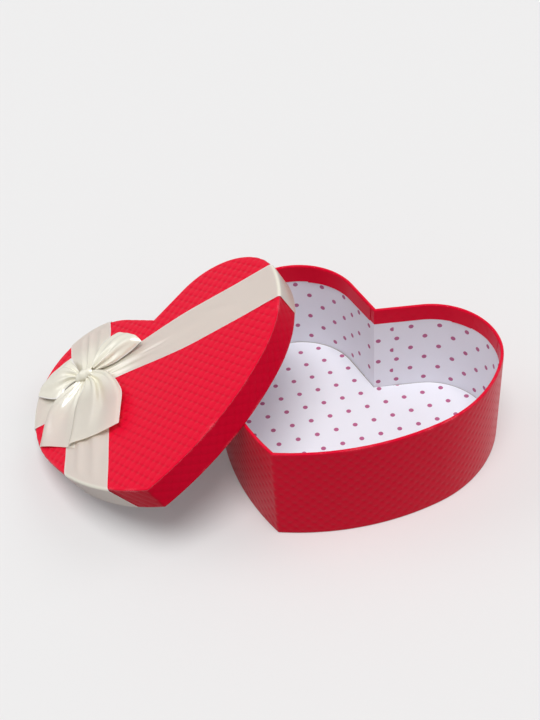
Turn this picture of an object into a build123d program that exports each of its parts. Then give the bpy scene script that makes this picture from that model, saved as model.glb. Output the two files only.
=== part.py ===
from build123d import *
import os
from math import acos, cos, degrees, radians, sin, tan

# A heart-shaped rigid gift box: a paper-wrapped greyboard base and a telescoping lid that carries
# a ribbon cross and a bow. The lid is off: it leans on the base's left side, with its low edge
# on the table and its skirt resting on the base's rim.
# Frame: +Z up, +Y from the tip of the base to its cleft, origin under the middle of the base.
# Sizes are in millimetres and degrees.

# Heart outline, measured at the outside of the base
BOX_WIDTH = 280.0
TIP_HALF_ANGLE = 68.0
SIDE_TURN = 35.0
SHOULDER_RADIUS = 128.0
SHOULDER_TURN = 46.5
LOBE_RADIUS = 65.0
LOBE_TURN = 110.0

# Heights
BASE_HEIGHT = 108.0
LID_HEIGHT = 28.0

# Sheet thicknesses
BOARD = 2.0
PAPER = 0.3
RIBBON = 0.3
GLUE = 0.05

# Folds of the wrapping paper
BASE_TURN_IN = 18.0
BASE_FOLD_UNDER = 15.0
BOTTOM_INSET = 4.0
LINER_SEAM_FROM_CLEFT = 20.0
LID_FLANGE = 12.0
LID_RIM_SETBACK = 1.0
LID_TURN_IN = 22.0

# Clearances
LID_PLAY = 1.8
PANEL_PLAY = 0.2
BUTT_GAP = 0.1
SEAT_GAP = 0.3

# Place of the leaning lid: its foot on the table, out from the base's left side and
# forward of the base's widest line, and the turn of its own tip-to-cleft axis
FOOT_OUT = 132.5
FOOT_FORWARD = 151.5
LEAN_HEADING = 31.4
STEEPEST_LEAN = 75.0
LEAN_STEPS = 18

# Ribbon cross: its knot lies in from the lid's left side, past the lid's widest line
RIBBON_WIDTH = 51.0
RIBBON_SLEW = 3.0
RIBBON_TAB = 15.0
KNOT_INSET = 68.0
KNOT_PAST_WIDEST = 4.0
GATHER_WIDTH = 28.0
GATHER_REACH = 60.0
LONG_GATHER_REACH = 130.0

# Bow
KNOT_LENGTH = 15.0
KNOT_CROWN = 7.0
KNOT_RADIUS = 7.5
KNOT_END_RADIUS = 5.0
KNOT_FLAT = 1.5
WAIST_WIDTH = 10.0
WAIST_RADIUS = 2.0
LOOP_WIDTH = 44.0
LOOP_FLARE = 40.0
LOOP_TIP_RADIUS = 9.0
LOOP_LIFT = 2.5
LEFT_LOOP_LENGTH = 60.0
LEFT_LOOP_ANGLE = 173.0
RIGHT_LOOP_LENGTH = 72.0
RIGHT_LOOP_ANGLE = 13.0
TAIL_FLARE = 48.0
TAIL_BEND = 18.0
TAIL_CLEARANCE = 0.1
TAIL_DROP = 4.8
TAIL_STEP = 2.0
LEFT_TAIL_LENGTH = 80.0
LEFT_TAIL_ANGLE = 241.0
LEFT_TAIL_SLANT = 0.0
RIGHT_TAIL_LENGTH = 84.0
RIGHT_TAIL_ANGLE = 278.0
RIGHT_TAIL_SLANT = 5.0

# Layers through the base's wall, as distances out from its outside
LAYER = PAPER + GLUE
WALL_BOARD_OUT = -LAYER
WALL_BOARD_IN = WALL_BOARD_OUT - BOARD
LINER_OUT = WALL_BOARD_IN - GLUE
LINER_IN = LINER_OUT - PAPER
TURN_IN_OUT = LINER_IN - GLUE
MOUTH = TURN_IN_OUT - PAPER

# Levels in the base
BOARD_UNDERSIDE = 2 * LAYER
FLOOR_TOP = BOARD_UNDERSIDE + BOARD
FLOOR_LINER_UNDERSIDE = FLOOR_TOP + GLUE
WALL_BOARD_TOP = BASE_HEIGHT - LAYER

# Layers through the lid's skirt, as distances out from the base's outside
SKIRT_TURN_IN_OUT = LID_PLAY + PAPER
SKIRT_BOARD_IN = SKIRT_TURN_IN_OUT + GLUE
SKIRT_BOARD_OUT = SKIRT_BOARD_IN + BOARD
FLANGE_IN = SKIRT_BOARD_OUT + GLUE
FLANGE_OUT = FLANGE_IN + PAPER
SKIRT_WRAP_IN = FLANGE_OUT + GLUE
LID_OUTSIDE = SKIRT_WRAP_IN + PAPER

# Levels in the lid, up from the skirt's lower edge
TOP_BOARD_TOP = LID_HEIGHT - LAYER
TOP_BOARD_UNDERSIDE = TOP_BOARD_TOP - BOARD
LID_LINER_UNDERSIDE = TOP_BOARD_UNDERSIDE - LAYER

# One ribbon glued on, and the top of the two crossed ribbons
STACK = RIBBON + GLUE
CROSSING_TOP = LID_HEIGHT + 2 * STACK

# A length that reaches past the whole box
PAST_ALL = 3 * BOX_WIDTH


def side_radius():
    """Radius of the side arcs that gives the box its width."""
    tip = cos(radians(TIP_HALF_ANGLE))
    shoulder = cos(radians(TIP_HALF_ANGLE - SIDE_TURN))
    return (BOX_WIDTH / 2 - SHOULDER_RADIUS * (1 - shoulder)) / (shoulder - tip)


def outline_arcs():
    """Centre, radius, first and last heading of the right half's arcs, with the tip at (0, 0).

    A heading is the angle from +Y, clockwise, in which the outline runs."""
    arcs = []
    x, y, heading = 0.0, 0.0, TIP_HALF_ANGLE
    bends = (
        (side_radius(), SIDE_TURN),
        (SHOULDER_RADIUS, SHOULDER_TURN),
        (LOBE_RADIUS, LOBE_TURN),
    )
    for radius, turn in bends:
        centre_x = x - radius * cos(radians(heading))
        centre_y = y + radius * sin(radians(heading))
        arcs.append((centre_x, centre_y, radius, heading, heading - turn))
        heading -= turn
        x = centre_x + radius * cos(radians(heading))
        y = centre_y - radius * sin(radians(heading))
    return arcs


ARCS = outline_arcs()
LOBE_TOP = ARCS[2][1] + LOBE_RADIUS
MIDDLE = LOBE_TOP / 2
WIDEST_Y = ARCS[1][1] - MIDDLE
CLEFT_HEADING = radians(ARCS[2][4])


def right_half(grow):
    """Edges of the outline's right half, from the tip to the cleft, moved out by grow."""
    edges = []
    for index, (centre_x, centre_y, radius, start, end) in enumerate(ARCS):
        reach = radius + grow
        if index == 0:
            start = degrees(acos(-centre_x / reach))
        edges.append(CenterArc((centre_x, centre_y - MIDDLE), reach, -start, start - end))
    lobe_end = edges[-1] @ 1
    cleft_y = lobe_end.Y - lobe_end.X / tan(CLEFT_HEADING)
    edges.append(Line(lobe_end, (0, cleft_y)))
    return edges


def heart(grow):
    """Heart face in the XY plane, with its outline moved out by grow."""
    half = right_half(grow)
    return make_face(half + [mirror(edge, about=Plane.YZ) for edge in half])


def prism(grow, bottom, top):
    """Heart-shaped block between two levels."""
    return extrude(Pos(0, 0, bottom) * heart(grow), top - bottom, dir=(0, 0, 1))


def ring(outer, inner, bottom, top):
    """Heart-shaped wall between two outlines and two levels."""
    return prism(outer, bottom, top) - prism(inner, bottom, top)


def butted_halves(wall):
    """A heart-shaped wall cut at the tip and the cleft: its left and its right strip."""
    strips = wall - Box(BUTT_GAP, PAST_ALL, PAST_ALL)
    return strips.solids().sort_by(Axis.X)


def base_wrap():
    """Outer paper: up the wall, over the rim and down inside, and folded under the bottom."""
    skin = ring(0, -PAPER, LAYER, BASE_HEIGHT)
    over_rim = ring(0, MOUTH, BASE_HEIGHT - PAPER, BASE_HEIGHT)
    turned_in = ring(TURN_IN_OUT, MOUTH, BASE_HEIGHT - BASE_TURN_IN, BASE_HEIGHT)
    folded_under = ring(0, -BASE_FOLD_UNDER, LAYER, LAYER + PAPER)
    return skin + over_rim + turned_in + folded_under


def base_wall_liner():
    """Dotted paper strip round the inside, with its two ends meeting beside the cleft."""
    strip = ring(LINER_OUT, LINER_IN, FLOOR_LINER_UNDERSIDE, WALL_BOARD_TOP)
    cleft = right_half(LINER_OUT)[-1]
    seam = cleft @ 1 - LINER_SEAM_FROM_CLEFT * (cleft % 1)
    slit = Pos(seam.X, seam.Y, 0) * Rot(0, 0, -degrees(CLEFT_HEADING))
    return strip - slit * Box(LINER_SEAM_FROM_CLEFT, BUTT_GAP, PAST_ALL)


def lid_top_wrap():
    """Top paper of the lid, with its edge turned down over the skirt."""
    sheet = prism(FLANGE_OUT, LID_HEIGHT - PAPER, LID_HEIGHT)
    return sheet + ring(FLANGE_OUT, FLANGE_IN, LID_HEIGHT - LID_FLANGE, LID_HEIGHT)


def lid_rim_wrap():
    """Paper strip round the skirt, turned under its lower edge and up inside."""
    skin = ring(LID_OUTSIDE, SKIRT_WRAP_IN, 0, LID_HEIGHT - LID_RIM_SETBACK)
    under_edge = ring(LID_OUTSIDE, LID_PLAY, 0, PAPER)
    turned_in = ring(SKIRT_TURN_IN_OUT, LID_PLAY, 0, LID_TURN_IN)
    return skin + under_edge + turned_in


def lean(tilt):
    """Place of the lid when it is tilted about its foot, where the ribbon touches the table."""
    foot = Pos(-BOX_WIDTH / 2 - FOOT_OUT, WIDEST_Y - FOOT_FORWARD, 0)
    low_edge = Pos(BOX_WIDTH / 2 + LID_OUTSIDE + STACK, -WIDEST_Y, STACK)
    return foot * Rot(0, 0, LEAN_HEADING) * Rot(0, -tilt, 0) * low_edge


def resting_tilt():
    """Tilt at which the lid comes down to its seat on the base's rim."""
    lid = prism(LID_OUTSIDE, 0, LID_HEIGHT) - prism(LID_PLAY, 0, LID_LINER_UNDERSIDE)
    wall = ring(0, MOUTH, 0, BASE_HEIGHT)
    overlapping, clear = 0.0, STEEPEST_LEAN
    for _ in range(LEAN_STEPS):
        tilt = (overlapping + clear) / 2
        if (lean(tilt) * lid).distance_to(wall) < SEAT_GAP:
            overlapping = tilt
        else:
            clear = tilt
    return clear


def knot_place(level):
    """Frame at the knot: X along the long ribbon, Y along the short one, at a level of the lid."""
    x = KNOT_INSET - BOX_WIDTH / 2 - LID_OUTSIDE
    return Pos(x, WIDEST_Y + KNOT_PAST_WIDEST, level) * Rot(0, 0, RIBBON_SLEW)


def ribbon_shell():
    """Ribbon laid all over the lid: over the top, down the skirt, under its edge and up inside."""
    outside = prism(LID_OUTSIDE + STACK, -STACK, LID_HEIGHT + STACK)
    lid_room = prism(LID_OUTSIDE + GLUE, -GLUE, LID_HEIGHT + GLUE)
    mouth = prism(LID_PLAY - STACK, -STACK, 0)
    tab = ring(LID_PLAY - GLUE, LID_PLAY - STACK, -STACK, RIBBON_TAB)
    return outside - lid_room - mouth + tab


def band_plan(reach_back, reach_ahead):
    """Plan of a ribbon along X: full width at the lid's edges, gathered in at the knot."""
    wide = RIBBON_WIDTH / 2
    narrow = GATHER_WIDTH / 2
    upper = [
        (-PAST_ALL, wide),
        (-reach_back, wide),
        (-narrow, narrow),
        (narrow, narrow),
        (reach_ahead, wide),
        (PAST_ALL, wide),
    ]
    lower = [(x, -y) for x, y in reversed(upper)]
    return make_face(Polyline(*upper, *lower, close=True))


def ribbon_cut(plan, turn):
    """Stretch of the lid's ribbon layer that a plan at the knot covers."""
    cutter = extrude(Rot(0, 0, turn) * plan, PAST_ALL, dir=(0, 0, 1))
    return ribbon_shell() & (knot_place(-PAST_ALL / 2) * cutter)


def ribbon_band_short(plan):
    """The ribbon that crosses over the long one, with a flat step up and down at the crossing."""
    crossing = GATHER_WIDTH + 2 * SEAT_GAP
    step = crossing + 2 * RIBBON
    on_lid = knot_place(LID_HEIGHT + GLUE)
    tunnel = on_lid * extrude(Rectangle(GATHER_WIDTH, crossing), STACK)
    bridge = on_lid * extrude(Rectangle(GATHER_WIDTH, step), 2 * STACK - GLUE)
    return ribbon_cut(plan, 90) + bridge - tunnel


def bow_knot():
    """Ribbon end wound round the bow's waist: a short barrel, flat underneath."""
    half = KNOT_LENGTH / 2
    crown = KNOT_CROWN / 2
    section = make_face(Polyline((-half, 0), (-half, KNOT_END_RADIUS), (-crown, KNOT_RADIUS),
                                 (crown, KNOT_RADIUS), (half, KNOT_END_RADIUS), (half, 0), close=True))
    barrel = Pos(0, 0, KNOT_RADIUS - KNOT_FLAT) * revolve(section, Axis.X)
    below = extrude(Rectangle(PAST_ALL, PAST_ALL), -PAST_ALL)
    return barrel - below


def waist_start(angle):
    """Distance from the knot's centre at which a ribbon that leaves it at an angle may start."""
    along = abs(cos(radians(angle)))
    across = abs(sin(radians(angle)))
    past_end = KNOT_LENGTH / 2 * along + KNOT_END_RADIUS * across
    past_crown = KNOT_CROWN / 2 * along + KNOT_RADIUS * across
    return max(past_end, past_crown) + SEAT_GAP


def flared_plan(start, flare, width, length, slant):
    """Plan of a bow ribbon along X: narrow at the waist, full width from flare to its end."""
    waist = WAIST_WIDTH / 2
    wide = width / 2
    return make_face(Polyline((start, -waist), (flare, -wide), (length - slant, -wide),
                              (length + slant, wide), (flare, wide), (start, waist), close=True))


def bow_loop(length, angle):
    """Ribbon loop: a drop in side view, cut to a flared plan."""
    start = waist_start(angle)
    middle = KNOT_RADIUS - KNOT_FLAT
    waist = Pos(start + WAIST_RADIUS, middle) * Circle(WAIST_RADIUS)
    tip = Pos(length - LOOP_TIP_RADIUS, LOOP_TIP_RADIUS + LOOP_LIFT) * Circle(LOOP_TIP_RADIUS)
    drop = make_hull(waist.edges() + tip.edges())
    side = Plane.XZ * (drop - offset(drop, amount=-RIBBON))
    sheet = extrude(side, LOOP_WIDTH / 2, both=True)
    plan = flared_plan(start, LOOP_FLARE, LOOP_WIDTH, length, 0)
    return Rot(0, 0, angle) * (sheet & extrude(plan, PAST_ALL))


def bow_tail(length, angle, slant, rest):
    """Ribbon end: leaves the knot level, drops in an S-bend and lies along the lid."""
    start = waist_start(angle)
    top = rest + TAIL_DROP
    turn = acos(1 - TAIL_DROP / (2 * TAIL_BEND))
    run = 2 * TAIL_BEND * sin(turn)
    path = [
        CenterArc((start, top - TAIL_BEND), TAIL_BEND, 90, -degrees(turn)),
        CenterArc((start + run, rest + TAIL_BEND), TAIL_BEND, 270 - degrees(turn), degrees(turn)),
        Line((start + run, rest), (length + slant, rest)),
    ]
    side = Plane.XZ * trace(path, RIBBON)
    sheet = extrude(side, RIBBON_WIDTH / 2, both=True)
    plan = flared_plan(start, TAIL_FLARE, RIBBON_WIDTH, length, slant)
    return Rot(0, 0, angle) * (sheet & extrude(plan, PAST_ALL))


def base_pieces():
    """The pieces of the base, in place."""
    wall = ring(WALL_BOARD_OUT, WALL_BOARD_IN, BOARD_UNDERSIDE, WALL_BOARD_TOP)
    left, right = butted_halves(wall)
    floor_liner_top = FLOOR_LINER_UNDERSIDE + PAPER
    return {
        "base_bottom_paper": prism(-BOTTOM_INSET, 0, PAPER),
        "base_floor_board": prism(WALL_BOARD_IN - PANEL_PLAY, BOARD_UNDERSIDE, FLOOR_TOP),
        "base_wall_board_left": left,
        "base_wall_board_right": right,
        "base_wrap": base_wrap(),
        "base_wall_liner": base_wall_liner(),
        "base_floor_liner": prism(LINER_IN - PANEL_PLAY, FLOOR_LINER_UNDERSIDE, floor_liner_top),
    }


def lid_pieces():
    """The pieces of the lid with its ribbons, lying level with the skirt's lower edge at zero."""
    skirt = ring(SKIRT_BOARD_OUT, SKIRT_BOARD_IN, LAYER, TOP_BOARD_TOP)
    left, right = butted_halves(skirt)
    panel = SKIRT_BOARD_IN - PANEL_PLAY
    long_plan = band_plan(GATHER_REACH, LONG_GATHER_REACH)
    short_plan = band_plan(GATHER_REACH, GATHER_REACH)
    bow = knot_place(CROSSING_TOP + GLUE)
    left_rest = TAIL_CLEARANCE + RIBBON / 2
    right_rest = left_rest + TAIL_STEP
    return {
        "lid_top_board": prism(panel, TOP_BOARD_UNDERSIDE, TOP_BOARD_TOP),
        "lid_rim_board_left": left,
        "lid_rim_board_right": right,
        "lid_top_wrap": lid_top_wrap(),
        "lid_rim_wrap": lid_rim_wrap(),
        "lid_liner": prism(panel, LID_LINER_UNDERSIDE, LID_LINER_UNDERSIDE + PAPER),
        "ribbon_band_long": ribbon_cut(long_plan, 0),
        "ribbon_band_short": ribbon_band_short(short_plan),
        "bow_knot": bow * bow_knot(),
        "bow_loop_left": bow * bow_loop(LEFT_LOOP_LENGTH, LEFT_LOOP_ANGLE),
        "bow_loop_right": bow * bow_loop(RIGHT_LOOP_LENGTH, RIGHT_LOOP_ANGLE),
        "bow_tail_left": bow * bow_tail(LEFT_TAIL_LENGTH, LEFT_TAIL_ANGLE, LEFT_TAIL_SLANT, left_rest),
        "bow_tail_right": bow * bow_tail(RIGHT_TAIL_LENGTH, RIGHT_TAIL_ANGLE, RIGHT_TAIL_SLANT, right_rest),
    }


os.makedirs("parts", exist_ok=True)
tilt = resting_tilt()
leaning = lean(tilt)
pieces = base_pieces()
for name, piece in lid_pieces().items():
    pieces[name] = leaning * piece
for name, piece in pieces.items():
    export_step(piece, f"parts/{name}.step")
print(f"base {BOX_WIDTH:.1f} wide, {LOBE_TOP:.1f} long; lid leans at {tilt:.2f} degrees")
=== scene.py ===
# %% [markdown]
# # A heart-shaped gift box with a ribbon
#
# The box is a rigid one: grey board covered with embossed red paper, lined with dotted paper,
# and closed by a lid that a satin ribbon crosses. The CAD model is the frame that everything
# here is fitted to: it already has every board and every sheet in its place. Blender adds what
# the eye looks for: rounded folds, the embossing, printed dots, scuffed edges and the soft bow.
# Some of that is painted light and shade: darker creases and dents, glints along the scuffed
# folds, a lighter red on the lid's top and a darker one on its skirt, and cream light in the bow.

# %% Load the frame
import math
import bpy
import numpy as np
from mathutils import Matrix, Vector


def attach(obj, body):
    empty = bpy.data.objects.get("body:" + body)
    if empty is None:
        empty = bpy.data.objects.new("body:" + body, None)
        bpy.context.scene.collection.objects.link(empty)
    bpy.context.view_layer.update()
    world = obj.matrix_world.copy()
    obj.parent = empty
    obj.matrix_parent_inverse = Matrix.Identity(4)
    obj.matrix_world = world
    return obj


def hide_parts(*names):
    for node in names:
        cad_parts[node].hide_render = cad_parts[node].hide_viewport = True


MM = 0.001
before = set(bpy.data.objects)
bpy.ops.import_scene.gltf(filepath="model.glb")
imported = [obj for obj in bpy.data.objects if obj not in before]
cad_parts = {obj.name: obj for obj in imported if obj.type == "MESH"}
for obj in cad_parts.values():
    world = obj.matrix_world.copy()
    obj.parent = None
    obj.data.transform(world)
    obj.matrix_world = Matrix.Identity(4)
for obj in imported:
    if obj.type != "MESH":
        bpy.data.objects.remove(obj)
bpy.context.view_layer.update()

# %% [markdown]
# ## The camera
#
# The camera comes first, because every later choice is judged through it. It was fitted to the
# box's corners, so it is given by the angles it looks from, the point it looks at and the
# distance between. Its roll is small, but without it the floor would seem to slope.

# %% Camera
PHOTO_HEIGHT_PX = 720
FOCAL_LENGTH_PX = 1164.5
CAMERA_AZIMUTH = math.radians(32.21)
CAMERA_ELEVATION = math.radians(43.25)
CAMERA_ROLL = math.radians(-4.93)
CAMERA_DISTANCE = 1193.2 * MM
CAMERA_TARGET = Vector((-97.1, 41.3, 40.0)) * MM

level = math.cos(CAMERA_ELEVATION)
back = Vector((
    math.sin(CAMERA_AZIMUTH) * level,
    -math.cos(CAMERA_AZIMUTH) * level,
    math.sin(CAMERA_ELEVATION),
))
right = Vector((math.cos(CAMERA_AZIMUTH), math.sin(CAMERA_AZIMUTH), 0))
turn = Matrix((right, back.cross(right), back)).transposed().to_4x4()
roll = Matrix.Rotation(CAMERA_ROLL, 4, "Z")

bpy.ops.object.camera_add()
camera = bpy.context.object
camera.matrix_world = Matrix.Translation(CAMERA_TARGET + back * CAMERA_DISTANCE) @ turn @ roll
camera.data.lens = FOCAL_LENGTH_PX * camera.data.sensor_width / PHOTO_HEIGHT_PX
bpy.context.scene.camera = camera
print("lens", round(camera.data.lens, 1), "mm")

# %% [markdown]
# ## Light
#
# The box stands in a white studio: bright from above, with soft shadows on every side. Area
# lamps could give that, but each would be nearer to one side of the box than to the other. A
# sun with a very wide angle acts as a soft box that is far away, and lights everything alike.
# The main one stands nearly overhead, tipped to the front. Two weak ones, from the right at the
# back and from the left, keep the walls from going dull. The world fills the shadows, while the
# camera and the gloss see it nearly white. A Light Path node tells those rays apart.

# %% Light
PALE = (0.863, 0.863, 0.863, 1)
FILL_COLOUR = (1.0, 0.98, 0.98, 1)
FILL_STRENGTH = 0.335
SOFT_BOX_SPREAD = math.radians(32)
# The direction towards each soft box, and its strength.
SOFT_BOXES = (
    ((0.13, -0.21, 0.97), 1.91),
    ((0.55, 0.45, 0.70), 0.34),
    ((-0.75, -0.25, 0.62), 0.36),
)


def seen_by_eye(nodes, links):
    """1 for rays from the camera and for rays that a gloss sends on, otherwise 0."""
    path = nodes.new("ShaderNodeLightPath")
    either = nodes.new("ShaderNodeMath")
    either.operation = "MAXIMUM"
    links.new(path.outputs["Is Camera Ray"], either.inputs[0])
    links.new(path.outputs["Is Glossy Ray"], either.inputs[1])
    return either.outputs[0]


world = bpy.data.worlds.new("studio")
bpy.context.scene.world = world
world.use_nodes = True
nodes, links = world.node_tree.nodes, world.node_tree.links
shown = nodes["Background"]
shown.inputs["Color"].default_value = PALE
fill = nodes.new("ShaderNodeBackground")
fill.inputs["Color"].default_value = FILL_COLOUR
fill.inputs["Strength"].default_value = FILL_STRENGTH
pick = nodes.new("ShaderNodeMixShader")
links.new(seen_by_eye(nodes, links), pick.inputs[0])
links.new(fill.outputs[0], pick.inputs[1])
links.new(shown.outputs[0], pick.inputs[2])
links.new(pick.outputs[0], nodes["World Output"].inputs["Surface"])

for towards, strength in SOFT_BOXES:
    bpy.ops.object.light_add(type="SUN")
    sun = bpy.context.object
    sun.rotation_euler = Vector(towards).to_track_quat("Z", "Y").to_euler()
    sun.data.energy = strength
    sun.data.angle = SOFT_BOX_SPREAD
print(len(SOFT_BOXES), "soft boxes,", round(math.degrees(SOFT_BOX_SPREAD)), "degrees wide")

# %% [markdown]
# ## Floor
#
# Under the box is a plain pale floor. One large plane is enough, because its far edge is out of
# sight. The camera sees it nearly white, lifted a little so that it melts into the background.
# To all other light it is a darker table: what it threw back up would otherwise wash the red
# out of the walls. The Standard view transform then shows the colours as they were set.

# %% Floor
FLOOR_SIZE = 12.0
FLOOR_SEEN = (0.702, 0.702, 0.702, 1)
FLOOR_BOUNCE = (0.38, 0.37, 0.37, 1)
FLOOR_LIFT = 0.11

bpy.ops.mesh.primitive_plane_add(size=FLOOR_SIZE)
floor = bpy.context.object
floor.name = "floor"
floor_paint = bpy.data.materials.new("pale_floor")
floor_paint.use_nodes = True
nodes, links = floor_paint.node_tree.nodes, floor_paint.node_tree.links
shader = nodes["Principled BSDF"]
shader.inputs["Roughness"].default_value = 0.9
shader.inputs["Specular IOR Level"].default_value = 0.1
eye = seen_by_eye(nodes, links)
tone = nodes.new("ShaderNodeMix")
tone.data_type = "RGBA"
tone.inputs["A"].default_value = FLOOR_BOUNCE
tone.inputs["B"].default_value = FLOOR_SEEN
links.new(eye, tone.inputs["Factor"])
links.new(tone.outputs["Result"], shader.inputs["Base Color"])
lift = nodes.new("ShaderNodeMath")
lift.operation = "MULTIPLY"
lift.inputs[1].default_value = FLOOR_LIFT
links.new(eye, lift.inputs[0])
shader.inputs["Emission Color"].default_value = (1, 1, 1, 1)
links.new(lift.outputs[0], shader.inputs["Emission Strength"])
floor.data.materials.append(floor_paint)
bpy.context.scene.view_settings.view_transform = "Standard"
print("floor", FLOOR_SIZE, "m wide")

# %% [markdown]
# ## The heart's outline
#
# Half of the heart is three arcs, each tangent to the next, and a straight run down into the
# cleft. An outline moved out or in keeps the arcs' centres and only changes their radii. That
# is the key to the whole box: a sheet of paper that follows the wall is its profile, spun
# about those three centres in turn.

# %% Heart outline
BOX_WIDTH = 280 * MM
TIP_HALF_ANGLE = math.radians(68)
SIDE_TURN = math.radians(35)
SHOULDER_RADIUS = 128 * MM
SHOULDER_TURN = math.radians(46.5)
LOBE_RADIUS = 65 * MM
LOBE_TURN = math.radians(110)


def heart_arcs():
    """Centre, radius, first and last heading of the right half's arcs, and the end of the last."""
    shoulder = math.cos(TIP_HALF_ANGLE - SIDE_TURN)
    side_radius = BOX_WIDTH / 2 - SHOULDER_RADIUS * (1 - shoulder)
    side_radius /= shoulder - math.cos(TIP_HALF_ANGLE)
    x, y, heading = 0.0, 0.0, TIP_HALF_ANGLE
    arcs = []
    bends = (
        (side_radius, SIDE_TURN),
        (SHOULDER_RADIUS, SHOULDER_TURN),
        (LOBE_RADIUS, LOBE_TURN),
    )
    for radius, bend in bends:
        centre_x = x - radius * math.cos(heading)
        centre_y = y + radius * math.sin(heading)
        arcs.append([centre_x, centre_y, radius, heading, heading - bend])
        heading -= bend
        x = centre_x + radius * math.cos(heading)
        y = centre_y - radius * math.sin(heading)
    middle = (arcs[-1][1] + LOBE_RADIUS) / 2
    for arc in arcs:
        arc[1] -= middle
    return arcs, (x, y - middle)


ARCS, LOBE_END = heart_arcs()
CLEFT_HEADING = ARCS[-1][4]
CLEFT_RUN = LOBE_END[0] / abs(math.sin(CLEFT_HEADING))
WIDEST_Y = ARCS[1][1]


def arcs_length(grow=0.0):
    """Length of the right half's arcs, with the outline moved out by grow."""
    return sum((arc[2] + grow) * (arc[3] - arc[4]) for arc in ARCS)


CLEFT_AT = arcs_length() + CLEFT_RUN
print("half outline", round(CLEFT_AT / MM), "mm long")

# %% [markdown]
# ### Places along the outline
#
# A pattern on the paper has to know where it is on the strip that was cut for the wall. So this
# finds, for any point, the arc that it lies beside, the distance along the outline from the tip
# and the distance out of it. A loop over vertices would do it too, but slowly on a fine mesh.
# numpy does it for all of them at once.

# %% Places along the outline
TIP_OVERRUN = math.radians(3)


def outline_place(x, y, grow=0.0):
    """Distance along the outline from the tip, and distance out of it, for arrays of points.

    grow moves the outline along which the distance is measured."""
    x = np.abs(x)
    run = (x - LOBE_END[0]) * math.sin(CLEFT_HEADING) + (y - LOBE_END[1]) * math.cos(CLEFT_HEADING)
    out = (x - LOBE_END[0]) * math.cos(CLEFT_HEADING) - (y - LOBE_END[1]) * math.sin(CLEFT_HEADING)
    along = arcs_length(grow) + run
    out = np.where((run >= 0) & (y > 0), out, 1.0)
    before = 0.0
    for index, (centre_x, centre_y, radius, first, last) in enumerate(ARCS):
        heading = -np.arctan2(y - centre_y, x - centre_x)
        here = np.hypot(x - centre_x, y - centre_y) - radius
        limit = first + (TIP_OVERRUN if index == 0 else 0.0)
        nearer = (heading <= limit) & (heading >= last) & (np.abs(here) < np.abs(out))
        along = np.where(nearer, before + (radius + grow) * (first - heading), along)
        out = np.where(nearer, here, out)
        before += (radius + grow) * (first - last)
    return along, out


widest_at, _ = outline_place(BOX_WIDTH / 2, WIDEST_Y)
print("widest", round(float(widest_at) / MM), "mm from the tip")

# %% [markdown]
# ## A sheet that follows the heart
#
# A maker would cut a paper strip and glue it round the wall. Here the strip's profile comes
# first: straight runs, and small rounds where the paper turns over a board. A profile is a list
# of points, each a distance out of the outline and a height. Points this plain could be typed
# in, but stretches that are named and joined are easier to read and to change.

# %% Profiles
def straight(start, end, step):
    """Profile points from start to end, a step or less apart."""
    length = math.dist(start, end)
    count = max(1, math.ceil(length / step - 1e-6))
    return [
        (start[0] + (end[0] - start[0]) * k / count, start[1] + (end[1] - start[1]) * k / count)
        for k in range(count + 1)
    ]


def fold(centre, radius, first, last, count=4):
    """Profile points round a fold, between two angles in degrees."""
    angles = [math.radians(first + (last - first) * k / count) for k in range(count + 1)]
    return [(centre[0] + radius * math.cos(a), centre[1] + radius * math.sin(a)) for a in angles]


def joined(*stretches):
    """One profile from several stretches that meet end to end."""
    points = list(stretches[0])
    for stretch in stretches[1:]:
        points += stretch[1:]
    return points


def length_of(points):
    """Length of a profile."""
    return sum(math.dist(a, b) for a, b in zip(points, points[1:]))


print("a 1 mm fold takes", round(length_of(fold((0, 0), MM, 0, 90)) / MM, 2), "mm of paper")

# %% [markdown]
# ### Selecting in code
#
# An operator works on whatever is selected, as a hand would. These helpers select one piece,
# open it in edit mode and mark some of its vertices or edges. A wire starts from one vertex: a
# small plane merged to its centre.

# %% Edit mode helpers
def choose(piece):
    """Select a piece and make it active, and nothing else."""
    bpy.ops.object.select_all(action="DESELECT")
    piece.select_set(True)
    bpy.context.view_layer.objects.active = piece


def edit_all(piece):
    """Open a piece in edit mode with everything selected."""
    choose(piece)
    bpy.ops.object.mode_set(mode="EDIT")
    bpy.ops.mesh.select_all(action="SELECT")


def edit_chosen(piece, kind, chosen):
    """Open a piece in edit mode with only the chosen vertices or edges selected."""
    edit_all(piece)
    bpy.ops.mesh.select_mode(type=kind)
    bpy.ops.mesh.select_all(action="DESELECT")
    bpy.ops.object.mode_set(mode="OBJECT")
    elements = piece.data.vertices if kind == "VERT" else piece.data.edges
    elements.foreach_set("select", np.asarray(chosen, bool))
    bpy.ops.object.mode_set(mode="EDIT")


def close_edit():
    """Back to object mode, with vertices as what is selected next time."""
    bpy.ops.mesh.select_mode(type="VERT")
    bpy.ops.object.mode_set(mode="OBJECT")


def edge_ends(piece):
    """The two vertex numbers of every edge, as an array."""
    ends = np.zeros(len(piece.data.edges) * 2, int)
    piece.data.edges.foreach_get("vertices", ends)
    return ends.reshape(-1, 2)


def single_vertex(name, place):
    """A new object with one vertex, selected in edit mode: a plane merged to its centre."""
    bpy.ops.object.select_all(action="DESELECT")
    bpy.ops.mesh.primitive_plane_add(size=MM)
    piece = bpy.context.object
    piece.name = name
    edit_all(piece)
    bpy.ops.mesh.merge(type="CENTER")
    bpy.ops.transform.translate(value=place)
    bpy.ops.object.mode_set(mode="OBJECT")
    edit_all(piece)
    return piece

# %% [markdown]
# ### Numbers on vertices
#
# A mesh can keep a number with each vertex, in an attribute: here the distance up the paper, how
# near a fold is, where the colour is scuffed and a glint painted, or how gathered a ribbon lies,
# which also paints it cream. Vertex groups could hold them too, but only from 0 to 1. Spin and
# extrude copy attributes along, and materials can read them. foreach_get and foreach_set move
# whole arrays, which is far quicker than a loop.

# %% Vertex helpers
def store(piece, name, values):
    """Keep one number per vertex on a piece."""
    data = piece.data.attributes.get(name) or piece.data.attributes.new(name, "FLOAT", "POINT")
    data.data.foreach_set("value", np.asarray(values, np.float32))


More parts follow.
